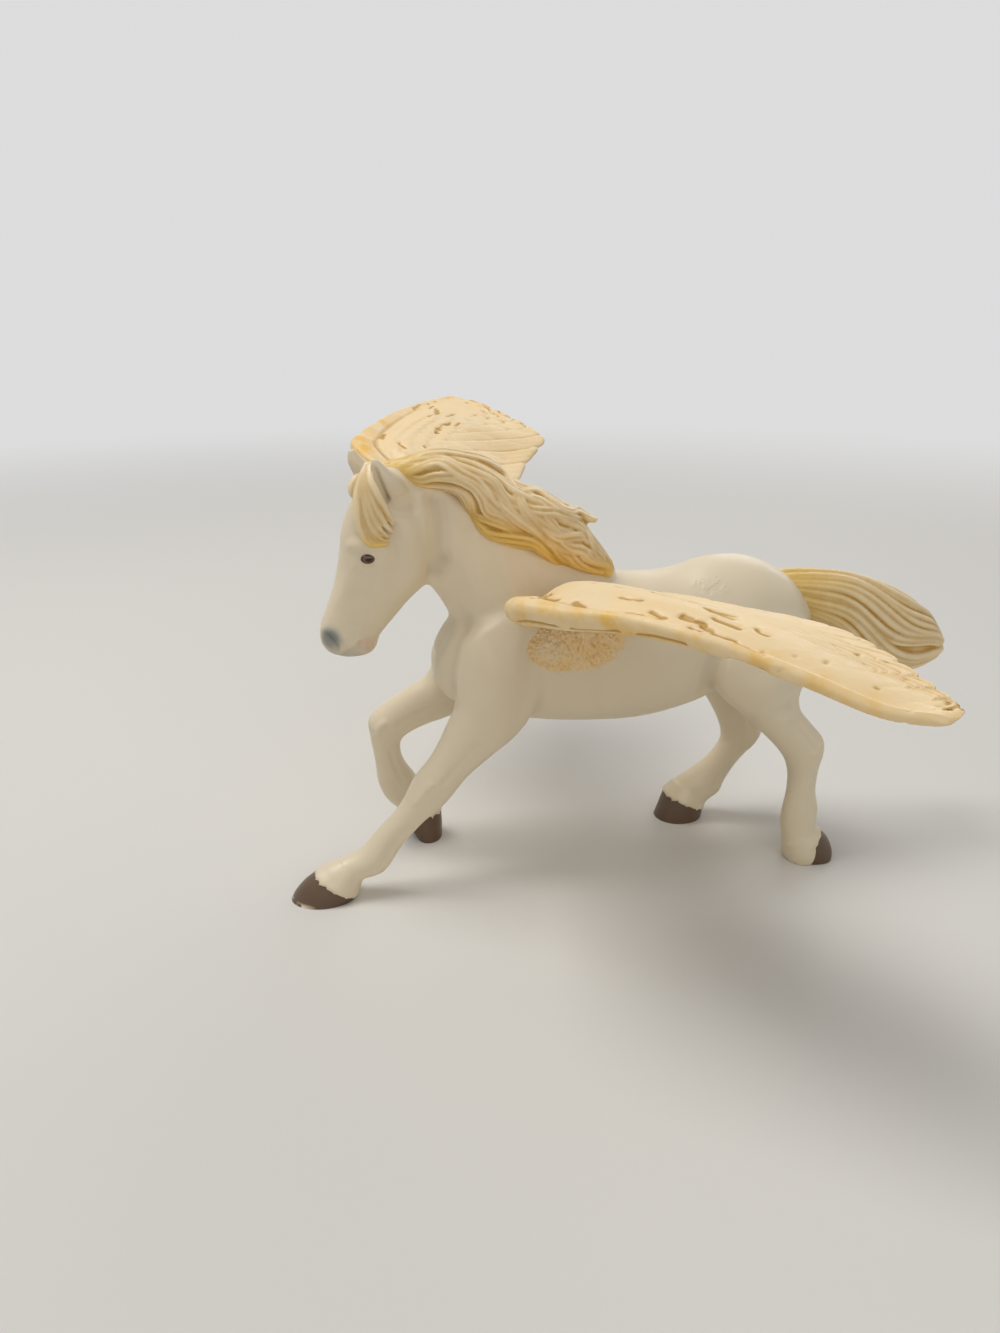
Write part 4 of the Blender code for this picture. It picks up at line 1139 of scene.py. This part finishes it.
def feather_heights(share, across, carving):
    """Long feathers that overlap like tiles behind rows of short ones."""
    roots = FEATHER_ROOTS[1] - FEATHER_ROOTS[0]
    index = (share - FEATHER_ROOTS[0] * (1 - across)) / (across + roots * (1 - across) + 1e-6)
    lane = np.clip(index, 0.0, 0.999) * carving["feathers"]
    v = lane % 1.0
    outer = np.clip((share - 0.45) / 0.3, 0.0, 1.0)
    step = carving["step"][0] + (carving["step"][1] - carving["step"][0]) * outer
    depth = carving["groove"][0] + (carving["groove"][1] - carving["groove"][0]) * outer
    groove = np.exp(-(np.minimum(v, 1 - v) / 0.09) ** 2)
    rachis = np.exp(-((v - 0.5) / 0.05) ** 2)
    long_ones = step * (v - 0.5 + 0.15 * rachis) - depth * groove
    first, last, rows = SCALE_ROWS
    lanes = np.clip(index, 0.0, 1.2) * carving["feathers"] * 1.3
    row = np.floor((across - first) / (last - first) * rows)
    w = (lanes + 0.5 * (row % 2)) % 1.0
    q = (across - 0.035 * (1 - (2 * w - 1) ** 2) - first) / (last - first) * rows
    gap = np.exp(-(np.minimum(w, 1 - w) / 0.10) ** 2)
    short_ones = carving["scale_step"] * ((q % 1.0) - 0.6 - 0.5 * gap)
    behind = np.clip((across - last) / 0.06, 0.0, 1.0)
    ahead = np.clip((across - first) / 0.06, 0.0, 1.0)
    inner = np.clip((0.72 - share) / 0.25, 0.0, 1.0)
    return long_ones * behind + short_ones * (1 - behind) * ahead * inner


def carve_marks(skin, points, carving, amount):
    """Pits all over a wing, longer cuts behind its front edge and grooves along that edge."""
    rng = np.random.default_rng(carving["seed"])
    rings, sides = points.shape[:2]
    heights = np.zeros(len(skin.points))
    for _ in range(carving["pits"]):
        at_ring, at_side = int(rng.uniform(0.08, 0.96) * rings), int(rng.uniform(0.0, 1.0) * sides)
        place = points[at_ring, at_side]
        drift = rng.normal(0.0, 0.35, 3)
        heights += stroke(skin, [place, place + drift], rng.uniform(0.45, 0.8),
                          rng.uniform(0.12, 0.30))
    for _ in range(carving["cuts"]):
        at_ring = int(rng.uniform(0.18, 0.66) * rings)
        at_side = int(rng.uniform(0.06, 0.26) * sides)
        cut_rings = np.arange(at_ring, min(at_ring + int(rng.uniform(8, 22)), rings - 1), 3)
        drift = rng.uniform(-0.25, 0.25)
        path = [points[r, int(at_side + drift * (r - at_ring)) % sides] for r in cut_rings]
        if len(path) > 1:
            heights += stroke(skin, path, rng.uniform(0.5, 0.8), rng.uniform(0.28, 0.50))
    for first, last in FRONT_GROOVES:
        groove_rings = np.arange(int(first * rings), int(last * rings), 4)
        wave = 2.0 * np.sin(groove_rings * 0.11 + first * 40) - 5.0
        path = [points[r, int(w) % sides] for r, w in zip(groove_rings, wave)]
        heights += stroke(skin, path, *FRONT_GROOVE)
    skin.push(heights * amount)
    return heights


# ---- Operators

class PEGASUS_OT_horse(bpy.types.Operator):
    """Carve and paint the horse's skin with its ears"""
    bl_idname = "pegasus.horse"
    bl_label = "Horse skin"

    def execute(self, context):
        sizes, colours = context.scene.figurine_sizes, context.scene.figurine_colours
        skin = horse_mesh(sizes)
        # The relief sets where the skin takes its painted shade
        skin.keep("relief", skin.relief(SKIN_RELIEF))
        piece(lighter(skin.mesh, sizes.skin_faces), "horse_skin", skin_paint(colours))
        return {"FINISHED"}


class PEGASUS_OT_hooves(bpy.types.Operator):
    """Carve and paint the four hooves"""
    bl_idname = "pegasus.hooves"
    bl_label = "Hooves"

    def execute(self, context):
        sizes, material = context.scene.figurine_sizes, hoof_paint(context.scene.figurine_colours)
        for name, stations in HOOVES.items():
            bm = bmesh.new()
            add_body_section(bm, stations, 48)
            skin = Skin(fused(bm, HOOF_CELL * MM))
            skin.relax(SKIN_SMOOTHING)
            skin.points[:, 2] = np.maximum(skin.points[:, 2], GROUND)
            skin.store()
            piece(lighter(skin.mesh, sizes.small_faces), name, material)
        return {"FINISHED"}


class PEGASUS_OT_mane(bpy.types.Operator):
    """Carve and paint the mane"""
    bl_idname = "pegasus.mane"
    bl_label = "Mane"

    def execute(self, context):
        core = bmesh.new()
        add_body_section(core, MANE)
        scaled = core.copy()
        bmesh.ops.scale(scaled, vec=(1 / MM,) * 3, verts=scaled.verts[:])
        tree = BVHTree.FromBMesh(scaled)
        scaled.free()
        rng = np.random.default_rng(11)
        for radius, outline in MANE_LOCKS:
            for side in (NEAR, FAR):
                add_mane_lock(core, tree, outline, radius, side, rng)
        run = between(MANE)
        rng = np.random.default_rng(6)
        for angle in np.linspace(-CREST_REACH, CREST_REACH, CREST_HAIRS):
            add_long_hair(core, run, angle, rng.uniform(-0.35, 0.35), rng, -0.30)
        hair_piece(context, core, "mane", HAIR_RELIEF, mane_tint, 1.0)
        return {"FINISHED"}


def mane_tint(x, z):
    """Yellow along the lower roll and at the poll."""
    low = np.interp(x, (-30.0, -20.0, -8.0, 0.0), (80.0, 77.0, 71.5, 66.0))
    hem = np.clip((low - z + 1.5) / 3.0, 0.0, 1.0)
    poll = np.clip((-25.0 - x) / 6.0, 0.0, 1.0)
    return np.maximum(hem, poll * 0.8)


def hair_piece(context, bm, name, relief, tint, face_share, loose=False):
    """Fuse a bundle of hair, kept in one part unless loose, and paint it, yellower by its tint."""
    sizes, colours = context.scene.figurine_sizes, context.scene.figurine_colours
    skin = Skin(fused(bm, sizes.hair_cell))
    skin.relax(1)
    skin.keep("relief", skin.relief(relief))
    skin.keep("tint", tint(skin.points[:, 0], skin.points[:, 2]))
    if not loose:
        keep_largest(skin.mesh)
    mesh = lighter(skin.mesh, int(sizes.hair_faces * face_share))
    piece(mesh, name, hair_paint(colours, name + "_hair"))


def on_core(tree, x, z, side):
    """Point and outward normal of a core where a side-view point meets one of its sides."""
    hit, normal, _, _ = tree.ray_cast(Vector((x, 60.0 * side, z)), Vector((0.0, -side, 0.0)))
    if hit is None:
        hit, normal, _, _ = tree.find_nearest(Vector((x, 1.5 * side, z)))
    return np.array(hit), np.array(normal)


def add_mane_lock(bm, tree, outline, radius, side, rng):
    """One lock of the mane: a roll of hairs that part a little toward the tip."""
    run = between(outline, 5)
    laid = [on_core(tree, x, z, side) for x, z in run]
    centre = np.array([p for p, _ in laid])
    flat = np.column_stack([run[:, 0], centre[:, 1], run[:, 1]])
    # Points past the core's edge keep their place in the side view
    centre[:, 0], centre[:, 2] = flat[:, 0], flat[:, 2]
    normals = np.array([n for _, n in laid])
    for _ in range(2):
        normals[1:-1] = (normals[:-2] + normals[1:-1] + normals[2:]) / 3
        centre[1:-1, 1] = (centre[:-2, 1] + centre[1:-1, 1] + centre[2:, 1]) / 3
    normals /= np.linalg.norm(normals, axis=1)[:, None]
    tangents = np.gradient(centre, axis=0)
    across = np.cross(tangents, normals)
    across /= np.maximum(np.linalg.norm(across, axis=1), 1e-9)[:, None]
    shares = np.linspace(0.0, 1.0, len(centre))
    body = 0.30 + 0.75 * np.sin(math.pi * (0.10 + 0.82 * shares))
    centre = centre - normals * 0.25
    add_strand(bm, centre, 0.92 * radius * body, normals, 0.80, 14)
    for k in range(HAIRS_PER_LOCK):
        offset = (k - (HAIRS_PER_LOCK - 1) / 2) / (HAIRS_PER_LOCK - 1) * 1.1
        wander = 0.16 * np.sin(shares * rng.uniform(4, 9) + rng.uniform(0, 6.28))
        shift = across * ((offset * body + wander) * radius)[:, None]
        lift = normals * (radius * body * (0.58 - 0.22 * abs(offset)))[:, None]
        thick = radius * rng.uniform(0.28, 0.38) * body
        add_strand(bm, centre + shift + lift, thick, normals, 1.0, 10)


class PEGASUS_OT_tail(bpy.types.Operator):
    """Carve and paint the tail"""
    bl_idname = "pegasus.tail"
    bl_label = "Tail"

    def execute(self, context):
        bm = bmesh.new()
        add_body_section(bm, TAIL)
        run = between(TAIL)
        rng = np.random.default_rng(5)
        for k in range(TAIL_LOCKS):
            angle = -math.pi + 2 * math.pi * k / TAIL_LOCKS
            phase = rng.uniform(-0.35, 0.35)
            for j in range(TAIL_HAIRS):
                add_long_hair(bm, run, angle + (j - 0.5) * 0.17, phase, rng, 0.45)
        hair_piece(context, bm, "tail", HAIR_RELIEF,
                   lambda x, z: np.clip((60.0 - x) / 12.0, 0.0, 1.0) * 0.8, 2 / 3)
        return {"FINISHED"}


def add_long_hair(bm, run, angle, phase, rng, lift):
    """One hair laid from root to tip over a core, standing out by a share of its radius."""
    path, normals, radii = [], [], []
    radius = rng.uniform(0.55, 0.80)
    start, end = rng.uniform(0.0, 0.05), rng.uniform(0.90, 1.0)
    for t in np.linspace(0.0, 1.0, 36):
        fx, fz, bx, bz, y, half = at(run, start + (end - start) * t)
        turn = angle + 0.30 * math.sin(phase + 0.4 + t * 7.6) * math.sin(
            math.pi * min(1.0, t * 1.5) / 2)
        centre = np.array([(fx + bx) / 2, y, (fz + bz) / 2])
        arm = np.array([(fx - bx) / 2, 0.0, (fz - bz) / 2])
        length = np.linalg.norm(arm)
        normal = unit(arm / length ** 2 * math.cos(turn)
                      + np.array([0, 1.0, 0]) / half * math.sin(turn))
        point = centre + arm * math.cos(turn) + np.array([0, half, 0]) * math.sin(turn)
        path.append(point + normal * radius * lift)
        normals.append(normal)
        radii.append(radius * (0.5 + 0.7 * math.sin(math.pi * (0.12 + 0.70 * t))))
    add_strand(bm, np.array(path), radii, normals, 0.9, 8)


class PEGASUS_OT_forelock(bpy.types.Operator):
    """Carve and paint the forelock"""
    bl_idname = "pegasus.forelock"
    bl_label = "Forelock"

    def execute(self, context):
        bm = bmesh.new()
        with_head_turned(bm, add_forelock)
        hair_piece(context, bm, "forelock", FORELOCK_RELIEF,
                   lambda x, z: np.clip((74.0 - z) / 3.0, 0.0, 1.0), 1 / 4, loose=True)
        return {"FINISHED"}


def add_forelock(bm):
    """Strands from between the ears that fan over the near side of the forehead."""
    front, middle, rear = (between(rows) for rows in FORELOCK)
    rng = np.random.default_rng(2)
    for share in np.linspace(0.0, 1.0, FORELOCK_STRANDS):
        reach = int(len(front) * rng.uniform(0.94, 1.0))
        path = (front * (1 - share) * (1 - 2 * share) + middle * 4 * share * (1 - share)
                + rear * share * (2 * share - 1))[:reach]
        shares = np.linspace(0.0, 1.0, len(path))
        sway = np.sin(shares * rng.uniform(5, 9)) * rng.uniform(-0.25, 0.25)
        path = path + np.outer(sway, (1.0, 0, 0.3))
        path[:, 1] -= 0.15 + 0.35 * np.sin(math.pi * shares)
        size = 0.95 if share < 0.1 else rng.uniform(0.62, 0.80)
        radii = size * (0.10 + 0.95 * np.sin(math.pi * (0.12 + 0.85 * shares)))
        add_strand(bm, path, radii, np.tile([0.0, -1.0, 0.0], (len(path), 1)), 1.1)
        radii = 0.30 * (0.3 + 0.7 * np.sin(math.pi * (0.10 + 0.86 * shares)))
        path = path + np.array([size * 0.5, -size * 0.55, size * 0.3])
        add_strand(bm, path, radii, np.tile([0.0, -1.0, 0.0], (len(path), 1)), 1.1)
    curl = between(CURL)
    for lift in (0.0, 0.5):
        radii = (1.05 - lift * 0.9) * np.sin(math.pi * np.linspace(0.2, 0.85, len(curl)))
        outward = np.tile([0.0, -1.0, 0.0], (len(curl), 1))
        add_strand(bm, curl + (lift, -lift, lift), radii, outward, 1.0)


class PEGASUS_OT_wings(bpy.types.Operator):
    """Carve and paint both wings and the pads below their roots"""
    bl_idname = "pegasus.wings"
    bl_label = "Wings"

    def execute(self, context):
        sizes, colours = context.scene.figurine_sizes, context.scene.figurine_colours
        material = wing_paint(colours)
        for name, lead, tips, side, carving in (
                ("near_wing", NEAR_LEAD, NEAR_TIPS, NEAR, NEAR_CARVING),
                ("far_wing", FAR_LEAD, FAR_TIPS, FAR, FAR_CARVING)):
            skin = wing_skin(lead, tips, side, carving, sizes.carving)
            piece(skin.mesh, name, material)
            pad = pad_skin(side, sizes.carving)
            piece(lighter(pad.mesh, sizes.small_faces * 2), name + "_pad", material)
        return {"FINISHED"}


def pad_skin(side, amount):
    """Oval pad below a wing's root, covered with short curled cuts."""
    bm = bmesh.new()
    made = bmesh.ops.create_uvsphere(bm, u_segments=64, v_segments=32, radius=0.5)["verts"]
    centre = np.array(ROOT_PAD_CENTRE) * (1.0, side, 1.0)
    for vert in made:
        vert.co = Vector((np.array(vert.co) * ROOT_PAD_SIZE + centre) * MM)
    skin = Skin(fused(bm, PAD_CELL * MM))
    skin.relax(2)
    rng = np.random.default_rng(21)
    heights = np.zeros(len(skin.points))
    half = np.array(ROOT_PAD_SIZE) / 2
    for _ in range(PAD_CUTS):
        turn, reach = rng.uniform(0, 2 * math.pi), math.sqrt(rng.uniform(0, 0.92))
        u, w = reach * math.cos(turn), reach * math.sin(turn)
        start = math.atan2(w - 1.2, u * 1.6) + rng.normal(0.0, 0.5)
        bend = rng.uniform(-1.0, 1.0)
        path = []
        for t in np.linspace(0.0, 1.0, 5):
            heading = start + bend * t
            x = u * half[0] + PAD_CUT_LENGTH * t * math.cos(heading)
            z = w * half[2] + PAD_CUT_LENGTH * t * math.sin(heading)
            depth = math.sqrt(max(0.0, 1 - (x / half[0]) ** 2 - (z / half[2]) ** 2)) * half[1]
            path.append(centre + np.array([x, side * depth, z]))
        heights += stroke(skin, path, *PAD_CUT)
    skin.push(np.maximum(heights, -0.45) * amount)
    skin.keep("relief", skin.relief(PAD_RELIEF))
    front = np.clip((centre[0] - 7.0 - skin.points[:, 0]) / 3.0, 0.0, 1.0)
    skin.keep("tint", 0.40 + 0.60 * front)
    return skin


class PEGASUS_OT_eyes(bpy.types.Operator):
    """Set the painted eyes in the head"""
    bl_idname = "pegasus.eyes"
    bl_label = "Eyes"

    def execute(self, context):
        material = eye_paint(context.scene.figurine_colours)
        for name, side in (("near_eye", NEAR), ("far_eye", FAR)):
            bm = bmesh.new()
            made = bmesh.ops.create_uvsphere(bm, u_segments=48, v_segments=24, radius=1.0)["verts"]
            size = np.array(EYE_SIZE)
            centre = np.array(EYE_CENTRE) * (1.0, side, 1.0)
            for vert in made:
                vert.co = turn_head(np.array(vert.co) * size + centre) * MM
            skin = Skin(to_mesh(bm, name))
            away = (skin.points - turn_head(centre)) / (size * (1.0, 20.0, 1.0))
            skin.keep("ring", np.linalg.norm(away, axis=1))
            piece(skin.mesh, name, material)
        return {"FINISHED"}


class PEGASUS_OT_stage(bpy.types.Operator):
    """Set the floor, lamps, background and camera"""
    bl_idname = "pegasus.stage"
    bl_label = "Stage"

    def execute(self, context):
        scene = context.scene
        bm = bmesh.new()
        bmesh.ops.create_grid(bm, x_segments=1, y_segments=1, size=FLOOR_SIZE)
        floor = bpy.data.objects.new("floor", to_mesh(bm, "floor"))
        floor.data.materials.append(floor_paint())
        scene.collection.objects.link(floor)
        for lamp in LAMPS:
            add_lamp(*lamp)
        paint_world(scene)
        camera = bpy.data.cameras.new("photo_camera")
        camera.sensor_width = 36.0
        camera.lens = CAMERA_LENS
        camera.clip_start = 0.005
        obj = bpy.data.objects.new("photo_camera", camera)
        obj.location = CAMERA_PLACE
        obj.rotation_euler = (math.pi / 2 - CAMERA_PITCH, 0.0, CAMERA_YAW)
        scene.collection.objects.link(obj)
        scene.camera = obj
        scene.view_settings.view_transform = "Standard"
        return {"FINISHED"}


def add_lamp(name, place, size, power):
    """A soft box that looks at the figure."""
    lamp = bpy.data.lights.new(name, "AREA")
    lamp.shape = "RECTANGLE"
    lamp.size, lamp.size_y = size
    lamp.energy = power
    obj = bpy.data.objects.new(name, lamp)
    obj.location = place
    aim = Vector(LAMP_AIM) - Vector(place)
    obj.rotation_euler = aim.to_track_quat("-Z", "Y").to_euler()
    bpy.context.scene.collection.objects.link(obj)


def floor_paint():
    """Pale matt floor that fades into the background far from the figure."""
    material, paint, shader = new_material("pale_floor")
    paint.put(shader["Base Color"], FLOOR)
    shader["Roughness"].default_value = 0.85
    far = paint.math("MULTIPLY", paint.span(paint.length(paint.place()), *FADE), paint.seen())
    glow = paint.add("Emission", Color=BACKGROUND)
    mix = paint.add("MixShader", Fac=far)
    paint.put(mix.inputs[1], paint.nodes["Principled BSDF"].outputs["BSDF"])
    paint.put(mix.inputs[2], glow.outputs["Emission"])
    paint.put(paint.nodes["Material Output"].inputs["Surface"], mix.outputs["Shader"])
    return material


def paint_world(scene):
    """Even grey light, seen as pale by the camera and in reflections."""
    world = bpy.data.worlds.new("studio")
    world.use_nodes = True
    paint = Paint(world.node_tree)
    background = paint.nodes["Background"].inputs
    paint.put(background["Color"], paint.mix(paint.seen(), STUDIO_LIGHT, BACKGROUND))
    background["Strength"].default_value = 1.0
    scene.world = world


class PEGASUS_PT_panel(bpy.types.Panel):
    """Pieces, sizes and paints of the figurine"""
    bl_idname = "PEGASUS_PT_panel"
    bl_label = "Pegasus figurine"
    bl_space_type = "VIEW_3D"
    bl_region_type = "UI"
    bl_category = "Figurine"

    def draw(self, context):
        for operator in OPERATORS:
            self.layout.operator(operator.bl_idname)
        for group in (context.scene.figurine_sizes, context.scene.figurine_colours):
            for name in group.__annotations__:
                self.layout.prop(group, name)


OPERATORS = (
    PEGASUS_OT_horse, PEGASUS_OT_hooves, PEGASUS_OT_mane, PEGASUS_OT_tail, PEGASUS_OT_forelock,
    PEGASUS_OT_wings, PEGASUS_OT_eyes, PEGASUS_OT_stage,
)
CLASSES = (FigurineSizes, FigurineColours) + OPERATORS + (PEGASUS_PT_panel,)


def register():
    for cls in CLASSES:
        bpy.utils.register_class(cls)
    bpy.types.Scene.figurine_sizes = PointerProperty(type=FigurineSizes)
    bpy.types.Scene.figurine_colours = PointerProperty(type=FigurineColours)


def unregister():
    del bpy.types.Scene.figurine_colours
    del bpy.types.Scene.figurine_sizes
    for cls in reversed(CLASSES):
        bpy.utils.unregister_class(cls)


def main():
    register()
    bpy.ops.pegasus.horse()
    bpy.ops.pegasus.hooves()
    bpy.ops.pegasus.mane()
    bpy.ops.pegasus.tail()
    bpy.ops.pegasus.forelock()
    bpy.ops.pegasus.wings()
    bpy.ops.pegasus.eyes()
    bpy.ops.pegasus.stage()


if __name__ == "__main__":
    main()
